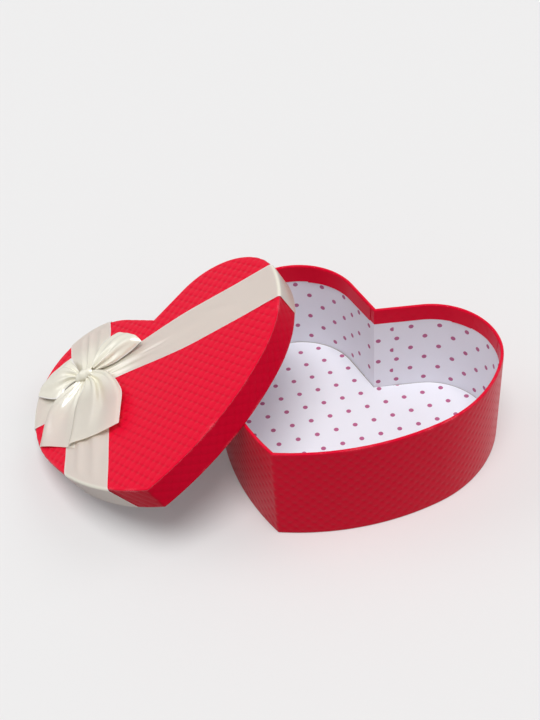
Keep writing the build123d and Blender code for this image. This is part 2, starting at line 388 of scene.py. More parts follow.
def read(piece, name):
    """The numbers that store keeps."""
    values = np.zeros(len(piece.data.vertices), np.float32)
    piece.data.attributes[name].data.foreach_get("value", values)
    return values.astype(float)


def points_of(piece):
    """The vertices of a piece as an array."""
    flat = np.zeros(len(piece.data.vertices) * 3)
    piece.data.vertices.foreach_get("co", flat)
    return flat.reshape(-1, 3)


def move_points(piece, points):
    """Put the vertices of a piece at the rows of an array."""
    piece.data.vertices.foreach_set("co", np.asarray(points, np.float32).ravel())
    piece.data.update()

# %% [markdown]
# ### Spinning the profile
#
# A curve with a bevel could follow the heart too, but it would pinch at the tip and the cleft.
# Here the profile is drawn as a wire by extruding one vertex, and the spin tool carries it round
# the three centres in turn. It starts a little before the tip and runs on past the cleft. Both
# corners are then mitred by cutting the half at the middle plane and mirroring it.

# %% Sheet round the heart
CLEFT_OVERRUN_STEPS = 4
CUT_THRESHOLD = 1e-7
MERGE_BELOW = 1e-5


def draw_profile(name, profile, centre, radius, heading):
    """The wire of a sheet's profile, standing on the outline at a heading."""
    outward = Vector((math.cos(heading), -math.sin(heading), 0))
    foot = Vector((centre[0], centre[1], 0)) + outward * radius
    wire = [foot + outward * out + Vector((0, 0, up)) for out, up in profile]
    piece = single_vertex(name, wire[0])
    for here, there in zip(wire, wire[1:]):
        bpy.ops.mesh.extrude_region_move(TRANSFORM_OT_translate={"value": there - here})
    bpy.ops.object.mode_set(mode="OBJECT")
    lengths = [math.dist(a, b) for a, b in zip(profile, profile[1:])]
    store(piece, "up_the_paper", np.concatenate([[0.0], np.cumsum(lengths)]))
    return piece


def heart_sheet(name, profile, step):
    """A paper sheet all round the heart, from its profile of (out, up) points."""
    centre_x, centre_y, radius, first, _ = ARCS[0]
    piece = draw_profile(name, profile, (centre_x, centre_y), radius, first + TIP_OVERRUN)
    edit_all(piece)
    for index, (centre_x, centre_y, radius, first, last) in enumerate(ARCS):
        bend = first - last + (TIP_OVERRUN if index == 0 else 0.0)
        steps = round(radius * bend / step)
        bpy.ops.mesh.spin(steps=steps, angle=bend, center=(centre_x, centre_y, 0), axis=(0, 0, -1))
    steps = round(CLEFT_RUN / step)
    down = Vector((math.sin(CLEFT_HEADING), math.cos(CLEFT_HEADING), 0)) * CLEFT_RUN / steps
    for _ in range(steps + CLEFT_OVERRUN_STEPS):
        bpy.ops.mesh.extrude_region_move(TRANSFORM_OT_translate={"value": down})
    bpy.ops.mesh.select_all(action="SELECT")
    bpy.ops.mesh.bisect(
        plane_co=(0, 0, 0), plane_no=(1, 0, 0), clear_inner=True, threshold=CUT_THRESHOLD)
    bpy.ops.object.mode_set(mode="OBJECT")
    other_half = piece.modifiers.new("other_half", "MIRROR")
    other_half.use_clip = True
    other_half.merge_threshold = MERGE_BELOW
    bpy.ops.object.modifier_apply(modifier=other_half.name)
    return piece

# %% [markdown]
# ### Faces and map
#
# A sheet has no inside, so a probe says which side shows: a place, and the direction that the
# face there should look. The UV map is the flat sheet itself, in metres, so what is printed on
# it keeps its true size. An unwrap would stretch it.

# %% Faces and map
def face_outwards(piece, probe):
    """Make the faces agree, with the face nearest to a point looking along the probe's direction."""
    place, direction = probe
    edit_all(piece)
    bpy.ops.mesh.normals_make_consistent(inside=False)
    bpy.ops.object.mode_set(mode="OBJECT")
    nearest = min(piece.data.polygons, key=lambda face: (face.center - place).length)
    if nearest.normal.dot(direction) < 0:
        edit_all(piece)
        bpy.ops.mesh.flip_normals()
        bpy.ops.object.mode_set(mode="OBJECT")


def map_paper(piece, grow=0.0, left_shift=(0.0, 0.0)):
    """Lay the paper's own sheet over the piece as its UV map, in metres."""
    points = points_of(piece)
    along, _ = outline_place(points[:, 0], points[:, 1], grow)
    up = read(piece, "up_the_paper")
    layer = piece.data.uv_layers[0]
    layer.name = "paper"
    uv = np.zeros((len(piece.data.loops), 2), np.float32)
    for face in piece.data.polygons:
        side = 1.0 if face.center.x > 0 else -1.0
        for loop in face.loop_indices:
            vertex = piece.data.loops[loop].vertex_index
            shift = left_shift if side < 0 else (0.0, 0.0)
            uv[loop] = (side * along[vertex] + shift[0], up[vertex] + shift[1])
    layer.data.foreach_set("uv", uv.ravel())

# %% [markdown]
# ### Thickness and shading
#
# Paper is thin, but its cut edge shows. The sheet could be extruded by hand, but then the folds
# would come out uneven. Solidify thickens it on its hidden side and leaves the shape that was
# drawn as it is. Shading is smooth, apart from where faces meet as sharply as at a cut edge.

# %% Thickness and shading
SMOOTH_BELOW = math.radians(60)


def apply_modifier(piece, modifier):
    """Apply one modifier."""
    bpy.context.view_layer.objects.active = piece
    bpy.ops.object.modifier_apply(modifier=modifier.name)


def thicken(piece, thickness, rim_slot=0):
    """Give a sheet its thickness, behind the face that shows."""
    wall = piece.modifiers.new("thickness", "SOLIDIFY")
    wall.thickness = thickness
    wall.offset = -1
    wall.material_offset_rim = rim_slot
    apply_modifier(piece, wall)


def smooth(piece):
    """Shade a piece smoothly, apart from its cut edges."""
    choose(piece)
    bpy.ops.object.shade_smooth_by_angle(angle=SMOOTH_BELOW)

# %% [markdown]
# ### Handing over a finished piece
#
# Every finished piece is attached to the body it moves with, and the CAD nodes it stands for are
# hidden. Each piece could make those calls itself. One helper makes both, so that neither is
# forgotten, and prints how large the piece became.

# %% Settle
def settle(piece, body, slot, *stands_for):
    """Attach a finished piece to the body it moves with, and hide the CAD nodes it stands for.

    slot is not used.
    """
    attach(piece, body)
    if stands_for:
        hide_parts(*stands_for)
    print(piece.name, len(piece.data.polygons), "faces")

# %% [markdown]
# ## Shared effects for the finishes
#
# Paper fibre, rubbed folds, printed dots, the pressed quilt and the satin's threads are each a
# node group, made once and placed in every material that needs it. All of them read real
# metres, from the object's own place or from a sheet's UV map, so a dot is as large on the wall
# as on the floor. A group's sockets are made first, and its two ends come back to be linked.

# %% Node group helpers
def new_group(name, inputs, outputs):
    """An empty shader group with its sockets: the group and both its ends."""
    group = bpy.data.node_groups.new(name, "ShaderNodeTree")
    for label, kind, value in inputs:
        socket = group.interface.new_socket(label, in_out="INPUT", socket_type=kind)
        if value is not None:
            socket.default_value = value
    for label, kind in outputs:
        group.interface.new_socket(label, in_out="OUTPUT", socket_type=kind)
    return group, group.nodes.new("NodeGroupInput"), group.nodes.new("NodeGroupOutput")


def feed(tree, socket, value):
    """Link a socket to another node's result, or set it to a plain value. None leaves it alone."""
    if isinstance(value, bpy.types.NodeSocket):
        tree.links.new(value, socket)
    elif value is not None:
        socket.default_value = value


def show_group(group):
    """Print how large a group became."""
    print("group", group.name, "of", len(group.nodes), "nodes")

# %% [markdown]
# ### One node at a time
#
# In the node editor a node is added, set and linked by hand. These helpers do the same for the
# few kinds that are needed, and hand back the node's result, so a group reads like a formula.

# %% Node helpers
def math_node(tree, operation, first, second=None):
    """A Math node's result: each input is a socket or a number."""
    node = tree.nodes.new("ShaderNodeMath")
    node.operation = operation
    for socket, value in zip(node.inputs, (first, second)):
        feed(tree, socket, value)
    return node.outputs[0]


def vector_node(tree, operation, first, second=None, scale=None):
    """A Vector Math node's result, as math_node."""
    node = tree.nodes.new("ShaderNodeVectorMath")
    node.operation = operation
    for socket, value in zip(node.inputs, (first, second)):
        feed(tree, socket, value)
    if scale is not None:
        feed(tree, node.inputs["Scale"], scale)
    return node.outputs["Value" if operation == "LENGTH" else "Vector"]


def noise_node(tree, vector, scale, detail, roughness=0.5):
    """A Noise texture's value."""
    node = tree.nodes.new("ShaderNodeTexNoise")
    tree.links.new(vector, node.inputs["Vector"])
    node.inputs["Scale"].default_value = scale
    node.inputs["Detail"].default_value = detail
    node.inputs["Roughness"].default_value = roughness
    return node.outputs["Fac"]


def ramp(tree, value, low, high, to_low=0.0, to_high=1.0):
    """A smooth step of a value between two limits."""
    node = tree.nodes.new("ShaderNodeMapRange")
    node.interpolation_type = "SMOOTHSTEP"
    for socket, number in zip(node.inputs, (value, low, high, to_low, to_high)):
        feed(tree, socket, number)
    return node.outputs["Result"]

# %% [markdown]
# ### Paper fibre
#
# Even smooth paper is a felt of fibres, and its colour varies a little. A scan of paper could be
# laid on, but noise needs no image and has no seams. Two fine noises give the height of the
# fibres, and a slow one the mottle of the colour.

# %% Paper fibre
# The noises' scales, in grains per metre.
FINE_FIBRES = 1400
COARSE_FIBRES = 420
MOTTLES = 28
COARSE_SHARE = 0.6

fibre, start, end = new_group(
    "Paper fibre",
    [("Vector", "NodeSocketVector", None)],
    [("Height", "NodeSocketFloat"), ("Mottle", "NodeSocketFloat")],
)
fine = noise_node(fibre, start.outputs["Vector"], FINE_FIBRES, 3, 0.6)
coarse = noise_node(fibre, start.outputs["Vector"], COARSE_FIBRES, 2, 0.5)
coarse = math_node(fibre, "MULTIPLY", coarse, COARSE_SHARE)
mottle = noise_node(fibre, start.outputs["Vector"], MOTTLES, 4, 0.55)
feed(fibre, end.inputs["Height"], math_node(fibre, "ADD", fine, coarse))
feed(fibre, end.inputs["Mottle"], mottle)
show_group(fibre)

# %% [markdown]
# ### Scuffed folds and painted glints
#
# Where paper is folded over board, handling rubs the colour thin, in patches along the fold. The
# same paler colour also stands in for the glint of light along the fold: a painted highlight.
# The Pointiness of a mesh could find such edges, but it changes with how fine the mesh is. The
# vertices here already know how near the fold is, so that number is broken up by slow patches
# and fine specks of noise.

# %% Scuffed folds and painted glints
RUB_PATCHES = 45
RUB_SPECKS = 900

rub_and_glint_group, start, end = new_group(
    "Rubbed folds and glints",
    [
        ("Vector", "NodeSocketVector", None),
        ("Fold", "NodeSocketFloat", 0.0),
        ("Amount", "NodeSocketFloat", 0.5),
    ],
    [("Mask", "NodeSocketFloat")],
)
patches = ramp(rub_and_glint_group, noise_node(rub_and_glint_group, start.outputs["Vector"], RUB_PATCHES, 3, 0.6), 0.45, 0.75)
specks = ramp(rub_and_glint_group, noise_node(rub_and_glint_group, start.outputs["Vector"], RUB_SPECKS, 2, 0.5), 0.35, 0.65)
worn_and_glint = math_node(rub_and_glint_group, "MULTIPLY", patches, specks)
worn_and_glint = math_node(rub_and_glint_group, "MULTIPLY", worn_and_glint, start.outputs["Fold"])
feed(rub_and_glint_group, end.inputs["Mask"], math_node(rub_and_glint_group, "MULTIPLY", worn_and_glint, start.outputs["Amount"]))
show_group(rub_and_glint_group)

# %% [markdown]
# ### Printed dots
#
# The liner is printed with small dots, on a square lattice turned by 45 degrees. Modelled discs
# would be thousands of faces for something that has no thickness. Instead each point is moved
# into one cell of the lattice, and the distance to the cell's middle says whether it is inside
# the dot. The place of one dot is an input, because each sheet was cut from another spot.

# %% Printed dots
DOT_SPACING = 20.0 * MM
DOT_RADIUS = 2.5 * MM
DOT_EDGE = 0.12 * MM
LATTICE_TURN = math.radians(45)
CELL_MIDDLE = (0.5, 0.5, 0.5)
FLAT = (1, 1, 0)

dots, start, end = new_group(
    "Printed dots",
    [
        ("Vector", "NodeSocketVector", None),
        ("First dot", "NodeSocketVector", None),
        ("Spacing", "NodeSocketFloat", DOT_SPACING),
        ("Radius", "NodeSocketFloat", DOT_RADIUS),
    ],
    [("Mask", "NodeSocketFloat")],
)
spacing = start.outputs["Spacing"]
turned = dots.nodes.new("ShaderNodeVectorRotate")
turned.rotation_type = "Z_AXIS"
turned.inputs["Angle"].default_value = LATTICE_TURN
moved = vector_node(dots, "SUBTRACT", start.outputs["Vector"], start.outputs["First dot"])
feed(dots, turned.inputs["Vector"], moved)
flat = vector_node(dots, "MULTIPLY", turned.outputs["Vector"], FLAT)
cells = vector_node(dots, "SCALE", flat, scale=math_node(dots, "DIVIDE", 1.0, spacing))
cells = vector_node(dots, "FRACTION", vector_node(dots, "ADD", cells, CELL_MIDDLE))
inside = vector_node(dots, "MULTIPLY", vector_node(dots, "SUBTRACT", cells, CELL_MIDDLE), FLAT)
distance = math_node(dots, "MULTIPLY", vector_node(dots, "LENGTH", inside), spacing)
ink = math_node(dots, "SUBTRACT", start.outputs["Radius"], distance)
feed(dots, end.inputs["Mask"], ramp(dots, ink, -DOT_EDGE, DOT_EDGE))
show_group(dots)

# %% [markdown]
# ### Pressed quilt
#
# The red paper is embossed: two families of diagonal creases, and a dent where they cross. The
# dents are wide enough for the mesh. The creases are too fine for it, so the material draws
# them, from the sheet's UV map, and darkens the colour in creases and dents: painted shade.
# How strong each family shows is an input, since it differs from sheet to sheet.

# %% Pressed quilt
EMBOSS_PERIOD = 11.4 * MM
CREASE_SHARE = 0.6
CREASE_SHARPNESS = 14
DENT_SHARPNESS = 2.6

quilted, start, end = new_group(
    "Pressed quilt",
    [
        ("Vector", "NodeSocketVector", None),
        ("First crease", "NodeSocketFloat", 1.0),
        ("Second crease", "NodeSocketFloat", 1.0),
    ],
    [("Depth", "NodeSocketFloat")],
)
split = quilted.nodes.new("ShaderNodeSeparateXYZ")
feed(quilted, split.inputs[0], start.outputs["Vector"])
waves = []
creases = []
for direction, label in (("ADD", "First crease"), ("SUBTRACT", "Second crease")):
    across = math_node(quilted, direction, split.outputs["X"], split.outputs["Y"])
    turns = math_node(quilted, "MULTIPLY", across, math.pi / EMBOSS_PERIOD)
    wave = math_node(quilted, "ABSOLUTE", math_node(quilted, "COSINE", turns))
    sharp = math_node(quilted, "POWER", wave, CREASE_SHARPNESS)
    waves.append(wave)
    creases.append(math_node(quilted, "MULTIPLY", sharp, start.outputs[label]))
lines = math_node(quilted, "MULTIPLY", math_node(quilted, "MAXIMUM", *creases), CREASE_SHARE)
dents = math_node(quilted, "POWER", math_node(quilted, "MULTIPLY", *waves), DENT_SHARPNESS)
dents = math_node(quilted, "MULTIPLY", dents, 1 - CREASE_SHARE)
feed(quilted, end.inputs["Depth"], math_node(quilted, "ADD", lines, dents))
show_group(quilted)

# %% [markdown]
# ### Satin threads
#
# Satin shows long warp threads along the ribbon and hardly any weft. Woven threads could be
# modelled, but at this size they are only a sheen. So they are noise, drawn out along one axis
# of the UV map: x runs across the ribbon and y along it, in metres. Slower streaks are slubs in
# the yarn. The woven edge, the selvage, is a little thicker, and is found by its distance.

# %% Satin threads
THREADS = (4200, 160, 0)
SLUBS = (900, 25, 0)
SELVAGE_FROM = 1.0 * MM
SELVAGE_TO = 2.0 * MM
SELVAGE_RISE = 0.8

satin_threads, start, end = new_group(
    "Satin threads",
    [("Vector", "NodeSocketVector", None), ("Half width", "NodeSocketFloat", 25.5 * MM)],
    [("Height", "NodeSocketFloat"), ("Shade", "NodeSocketFloat"), ("Selvage", "NodeSocketFloat")],
)
along_threads = vector_node(satin_threads, "MULTIPLY", start.outputs["Vector"], THREADS)
along_slubs = vector_node(satin_threads, "MULTIPLY", start.outputs["Vector"], SLUBS)
split = satin_threads.nodes.new("ShaderNodeSeparateXYZ")
feed(satin_threads, split.inputs[0], start.outputs["Vector"])
from_middle = math_node(satin_threads, "ABSOLUTE", split.outputs["X"])
from_edge = math_node(satin_threads, "SUBTRACT", start.outputs["Half width"], from_middle)
selvage = ramp(satin_threads, from_edge, SELVAGE_FROM, SELVAGE_TO, 1.0, 0.0)
edge_rise = math_node(satin_threads, "MULTIPLY", selvage, SELVAGE_RISE)
threads = noise_node(satin_threads, along_threads, 1.0, 2, 0.5)
feed(satin_threads, end.inputs["Height"], math_node(satin_threads, "ADD", threads, edge_rise))
feed(satin_threads, end.inputs["Shade"], noise_node(satin_threads, along_slubs, 1.0, 3, 0.5))
feed(satin_threads, end.inputs["Selvage"], selvage)
show_group(satin_threads)

# %% [markdown]
# ## The finishes
#
# Each finish is a Principled shader fed by those groups. Roughness and gloss that are the same
# all over are set on the shader itself. The node editor would do as well; in code, a helper for
# each kind of node keeps the recipe of a finish short enough to read.

# %% Finish helpers
def new_finish(name, **sockets):
    """A material with its Principled shader's plain values: the material, its tree, the shader."""
    material = bpy.data.materials.new(name)
    material.use_nodes = True
    shader = material.node_tree.nodes["Principled BSDF"]
    for label, value in sockets.items():
        shader.inputs[label.replace("_", " ")].default_value = value
    return material, material.node_tree, shader


def place_group(tree, group, vector, **values):
    """Put a shared effect into a material."""
    node = tree.nodes.new("ShaderNodeGroup")
    node.node_tree = group
    feed(tree, node.inputs["Vector"], vector)
    for label, value in values.items():
        feed(tree, node.inputs[label.replace("_", " ")], value)
    return node


def coordinates(tree, kind):
    """Object coordinates or the piece's UV map."""
    return tree.nodes.new("ShaderNodeTexCoord").outputs[kind]


def attribute(tree, name):
    """A number that the piece's vertices keep."""
    node = tree.nodes.new("ShaderNodeAttribute")
    node.attribute_name = name
    return node.outputs["Fac"]


def mix_colours(tree, factor, first, second):
    """A mix of two colours, each a socket or three numbers."""
    node = tree.nodes.new("ShaderNodeMix")
    node.data_type = "RGBA"
    feed(tree, node.inputs["Factor"], factor)
    for label, value in (("A", first), ("B", second)):
        plain = not isinstance(value, bpy.types.NodeSocket)
        feed(tree, node.inputs[label], (*value, 1) if plain else value)
    return node.outputs["Result"]


MOTTLE_LOW = 0.2
MOTTLE_HIGH = 0.8


def roughen(tree, shader, value, smoothest, roughest):
    """Let a slow noise vary the roughness between two limits."""
    feed(tree, shader.inputs["Roughness"], ramp(tree, value, MOTTLE_LOW, MOTTLE_HIGH, smoothest, roughest))


def bump(tree, shader, height, strength, depth):
    """Feed a height to the shader's normal."""
    node = tree.nodes.new("ShaderNodeBump")
    node.inputs["Strength"].default_value = strength
    node.inputs["Distance"].default_value = depth
    tree.links.new(height, node.inputs["Height"])
    tree.links.new(node.outputs["Normal"], shader.inputs["Normal"])

# %% [markdown]
# ### Red paper
#
# The wraps are coated red paper, with a soft gloss that shows at grazing angles. One function
# makes every kind of it: for the base, for the lid's top, for the lid's skirt, and plain where
# nothing is embossed. They could share one material, but each sheet shows its embossing a little
# differently, and the lid's top is painted a lighter red and its skirt a darker one: painted light
# and painted shade. Where a sheet was cut, its edge is a duller red.

# %% Red paper
RED = np.array((0.78, 0.004, 0.034))
DEEP_RED = np.array((0.72, 0.003, 0.028))
# Painted shade: the darker red that the creases and dents are mixed towards.
CREASE_SHADE_RED = (0.50, 0.001, 0.014)
# Scuffed paler red along folds: wear, and also a painted glint of light.
RUBBED_AND_GLINT_RED = (0.86, 0.16, 0.20)
CUT_EDGE = (0.55, 0.10, 0.13, 1)
RED_GLEAM = (1.0, 0.25, 0.3, 1)
FIBRE_RISE = 0.06
PAPER_RELIEF = 0.3 * MM


def red_finish(name, quilt_shade, relief_strength=0.6, gloss=1.25, creases=(1.0, 1.0), tone=1.0):
    """Coated red paper, embossed from its UV map unless its share of painted shade is 0.

    That share darkens the creases and dents: painted shade. tone scales the whole red: painted
    light above 1, painted shade below 1.
    """
    material, tree, shader = new_finish(name, IOR=gloss, Specular_Tint=RED_GLEAM)
    place = coordinates(tree, "Object")
    grain = place_group(tree, fibre, place)
    wear_and_glint = place_group(tree, rub_and_glint_group, place, Fold=attribute(tree, "rubbed_and_glint_fold"), Amount=1.0)
    # tone scales the red: above 1 it is painted light, below 1 painted shade.
    colour = mix_colours(tree, grain.outputs["Mottle"], DEEP_RED * tone, RED * tone)
    height = math_node(tree, "MULTIPLY", grain.outputs["Height"], FIBRE_RISE)
    if quilt_shade:
        sheet = coordinates(tree, "UV")
        relief = place_group(tree, quilted, sheet, First_crease=creases[0], Second_crease=creases[1])
        share = math_node(tree, "MULTIPLY", relief.outputs["Depth"], attribute(tree, "embossed"))
        # Painted shade: darker red in the creases and dents, by the sheet's given share.
        colour = mix_colours(tree, math_node(tree, "MULTIPLY", share, quilt_shade), colour, CREASE_SHADE_RED)
        height = math_node(tree, "SUBTRACT", height, share)
    # Paler red along the marked folds: partly wear, partly a painted highlight.
    colour = mix_colours(tree, wear_and_glint.outputs["Mask"], colour, RUBBED_AND_GLINT_RED)
    feed(tree, shader.inputs["Base Color"], colour)
    roughen(tree, shader, grain.outputs["Mottle"], 0.30, 0.38)
    bump(tree, shader, height, relief_strength, PAPER_RELIEF)
    return material


red_paper = red_finish("red_paper", quilt_shade=0.5, relief_strength=1.0, creases=(0.25, 0.25))
# The lid's top: its red is painted lighter, as painted light.
lid_paper_painted_light = red_finish("lid_paper_painted_light", quilt_shade=0.38, relief_strength=0.9, creases=(1.0, 0.25), tone=1.09)
# The lid's skirt: its red is painted darker, as painted shade.
skirt_paper_painted_shade = red_finish("skirt_paper_painted_shade", quilt_shade=0.3, relief_strength=0.8, gloss=1.12, tone=0.84)
plain_red = red_finish("plain_red", quilt_shade=0.0)
cut_edge, _, _ = new_finish("cut_edge", Base_Color=CUT_EDGE, Roughness=0.8)
print("finishes", red_paper.name, lid_paper_painted_light.name, skirt_paper_painted_shade.name, plain_red.name, cut_edge.name)

# %% [markdown]
# ### White papers
#
# The liners are matt white paper with a touch of blue, and those of the base are printed with
# dots. One function makes them: it takes the coordinates that the dots follow and the place of
# one dot. The floor's sheet is flat, so its dots follow the object. The wall's is bent, so they
# follow its UV map.

# %% White papers
PAPER_WHITE = (0.86, 0.87, 0.925)
PAPER_SHADE = (0.83, 0.84, 0.90)
DOT_INK = (0.47, 0.12, 0.25)
FLOOR_FIRST_DOT = (-22.8 * MM, 56.3 * MM, 0)
WALL_FIRST_DOT = (386.5 * MM, 82.0 * MM, 0)
CLEFT_FIRST_DOT = (4.2 * MM, 67.0 * MM, 0)


def white_finish(name, kind=None, first_dot=None):
    """Matt white paper, with printed dots where their coordinates and one dot's place are given."""
    material, tree, shader = new_finish(name, Specular_IOR_Level=0.3)
    grain = place_group(tree, fibre, coordinates(tree, "Object"))
    colour = mix_colours(tree, grain.outputs["Mottle"], PAPER_SHADE, PAPER_WHITE)
    if first_dot is not None:
        printed = place_group(
            tree, dots, coordinates(tree, kind),
            First_dot=first_dot, Spacing=DOT_SPACING, Radius=DOT_RADIUS)
        colour = mix_colours(tree, printed.outputs["Mask"], colour, DOT_INK)
    feed(tree, shader.inputs["Base Color"], colour)
    roughen(tree, shader, grain.outputs["Mottle"], 0.5, 0.6)
    bump(tree, shader, grain.outputs["Height"], 0.1, 0.04 * MM)
    return material


dotted_floor = white_finish("dotted_floor", "Object", FLOOR_FIRST_DOT)
dotted_wall = white_finish("dotted_wall", "UV", WALL_FIRST_DOT)
dotted_cleft = white_finish("dotted_cleft", "UV", CLEFT_FIRST_DOT)
plain_white = white_finish("plain_white")
print("finishes", dotted_floor.name, dotted_wall.name, dotted_cleft.name, plain_white.name)

# %% [markdown]
# ### Greyboard
#
# Under the paper is greyboard, pressed from waste paper. Hardly any of it shows, so a plain grey
# would almost do. The fibre group gives it two greys and a coarse surface at no cost.

# %% Greyboard
BOARD_LIGHT = (0.42, 0.39, 0.35)
BOARD_DARK = (0.30, 0.28, 0.25)

greyboard, tree, shader = new_finish("greyboard", Specular_IOR_Level=0.2)
grain = place_group(tree, fibre, coordinates(tree, "Object"))
colour = mix_colours(tree, grain.outputs["Height"], BOARD_DARK, BOARD_LIGHT)
feed(tree, shader.inputs["Base Color"], colour)
roughen(tree, shader, grain.outputs["Mottle"], 0.75, 0.9)
bump(tree, shader, grain.outputs["Height"], 0.4, 0.1 * MM)
print("finish", greyboard.name)

# %% [markdown]
# ### Ivory satin
#
# The ribbon is thin, so part of the light goes through it: a Translucent shader is mixed with
# the Principled one. A paler colour could stand in for that, but the undersides of the bow would
# then be too dark. Where the cloth is gathered less comes through, and an attribute of the
# vertices says where. There its colour is also painted a warmer cream, which stands in for the
# light that glows through the folds, and the same attribute paints a cream highlight on the fold
# over the lid's edge. The selvage is painted paler, a painted highlight along the edges. The
# shader's own highlight is drawn out across the threads, as on real satin.

# %% Ivory satin
IVORY = (0.955, 0.915, 0.84)
# Painted light: cream stands in for light glowing through gathered cloth and for a fold's highlight.
CREAM = (0.975, 0.945, 0.81)
# The selvage's own colour, made paler still as a painted highlight along the ribbon's edges.
SELVAGE_AND_HIGHLIGHT_WHITE = (0.98, 0.96, 0.92)
SHEER = 0.42
SHEER_LAYERED = 0.18


def satin(name, half_width):
    """Satin for a ribbon of a half width: ivory where it lies thin, and painted cream where its
    vertices' attribute is high, standing in for light glowing through gathered cloth and for a fold's
    highlight.
    """
    material, tree, shader = new_finish(
        name, IOR=2.4, Anisotropic=0.5, Sheen_Weight=0.1, Sheen_Roughness=0.4)
    weave = place_group(tree, satin_threads, coordinates(tree, "UV"), Half_width=half_width)
    layered_and_painted_light = attribute(tree, "layered_and_painted_light")
    # Painted light: cream where the attribute is high, near the knot and on the fold over the lid's edge.
    colour = mix_colours(tree, layered_and_painted_light, IVORY, CREAM)
    # Selvage: a real woven edge, painted paler as a highlight along the ribbon's edges.
    colour = mix_colours(tree, weave.outputs["Selvage"], colour, SELVAGE_AND_HIGHLIGHT_WHITE)
    feed(tree, shader.inputs["Base Color"], colour)
    roughen(tree, shader, weave.outputs["Shade"], 0.20, 0.22)
    bump(tree, shader, weave.outputs["Height"], 0.02, 0.03 * MM)
    through = tree.nodes.new("ShaderNodeBsdfTranslucent")
    feed(tree, through.inputs["Color"], colour)
    both = tree.nodes.new("ShaderNodeMixShader")
    feed(tree, both.inputs["Fac"], ramp(tree, layered_and_painted_light, 0.0, 1.0, SHEER, SHEER_LAYERED))
    feed(tree, both.inputs[1], shader.outputs["BSDF"])
    feed(tree, both.inputs[2], through.outputs["BSDF"])
    feed(tree, tree.nodes["Material Output"].inputs["Surface"], both.outputs["Shader"])
    return material


RIBBON_WIDTH = 51 * MM
BOW_WIDTH = 50 * MM
band_satin = satin("band_satin", RIBBON_WIDTH / 2)
bow_satin = satin("bow_satin", BOW_WIDTH / 2)
print("finishes", band_satin.name, bow_satin.name)

# %% [markdown]
# ## The CAD pieces that stay
#
# The boards, the bottom paper and the lid's plain liner have the right shape already, and most
# of them are hidden. Modelling them again would only repeat the CAD, so they just get the new
# materials.

# %% Finish the CAD pieces that stay
def refinish(node, material):
    """Give a CAD node another material."""
    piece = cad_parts[node]
    piece.data.materials.clear()
    piece.data.materials.append(material)


boards = [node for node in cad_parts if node.endswith("board") or "_board_" in node]
for node in boards:
    refinish(node, greyboard)
refinish("base_bottom_paper", plain_red)
refinish("lid_liner", plain_white)
print(len(boards), "boards and two papers finished")

# %% [markdown]
# ## The embossed wrap of the base
#
# One sheet of red paper runs from inside the rim, over it, down the wall and under the bottom.
# Places in the wall could be read off the CAD pieces. It is clearer to build them up from the
# thicknesses of the layers, as the maker does: then no sheet can end up inside another.

# %% Layers of the walls
PAPER = 0.3 * MM
GLUE = 0.05 * MM
BOARD = 2.0 * MM
LAYER = PAPER + GLUE
BASE_HEIGHT = 108 * MM
BASE_TURN_IN = 18 * MM
BASE_FOLD_UNDER = 15 * MM
LINER_IN = -(2 * LAYER + BOARD + GLUE)
MOUTH = LINER_IN - LAYER
RIM_ROUND = 1.1 * MM
FOOT_ROUND = 0.7 * MM
print("wall", round(-MOUTH / MM, 2), "mm thick at the rim")

# %% [markdown]
# ### Embossing
#
# The embossing is a quilt of pillows on a diagonal grid, with a dent at each crossing. A bump
# in the material would give the shading, but not the small highlights that move with the
# surface, and it would look flat at a grazing angle. So the dents are pressed into the mesh,
# along its normals. Folding flattened the paper, so near a fold the relief fades out.

# %% Embossing
EMBOSS_RISE = 0.22 * MM
EMBOSS_DEPTH = 0.50 * MM
EMBOSS_STEP = EMBOSS_PERIOD / 6
FOLD_CLEAR = 3.0 * MM
RUB_AND_GLINT_WIDTH = 0.9 * MM


def soft_step(value, low, high):
    """0 below low, 1 above high, smooth between."""
    share = np.clip((value - low) / (high - low), 0, 1)
    return share * share * (3 - 2 * share)


def quilt(along, up):
    """Depth of the embossing: 0 on a pillow, 1 where two grooves cross."""
    rising = np.abs(np.cos(math.pi * (along + up) / EMBOSS_PERIOD))
    falling = np.abs(np.cos(math.pi * (along - up) / EMBOSS_PERIOD))
    return (rising * falling) ** DENT_SHARPNESS


def normals_of(piece):
    """The vertex normals of a piece as an array."""
    flat = np.zeros(len(piece.data.vertices) * 3, np.float32)
    piece.data.vertex_normals.foreach_get("vector", flat)
    return flat.reshape(-1, 3)


def emboss(piece, along, up, weight):
    """Press the quilt into a sheet, as deep as each vertex's weight allows."""
    store(piece, "embossed", weight)
    rise = (EMBOSS_RISE - EMBOSS_DEPTH * quilt(along, up)) * weight
    move_points(piece, points_of(piece) + normals_of(piece) * rise[:, None])


def from_folds(up, folds):
    """Distance of rows up the paper from the nearest of some folds."""
    return np.min([np.abs(up - at) for at in folds], axis=0)


def mark_rubbed_glint_folds(piece, up, folds):
    """Keep on a piece how near each vertex lies to a fold, where handling pales the colour and a glint is
    painted.
    """
    store(piece, "rubbed_and_glint_fold", np.exp(-(from_folds(up, folds) / RUB_AND_GLINT_WIDTH) ** 2))

# %% [markdown]
# ### Finishing a wrap
#
# The base and the lid's skirt are wrapped in the same way, so one helper finishes both instead
# of a copy for each. It maps the sheet, marks the folds whose colour gets scuffed paler and a
# glint painted, presses the embossing and thickens the paper. The part inside the box was
# flattened again, so its relief is weaker. A second material slot is for the cut edge.

# %% Finish of a wrap
INSIDE_RELIEF = 0.4


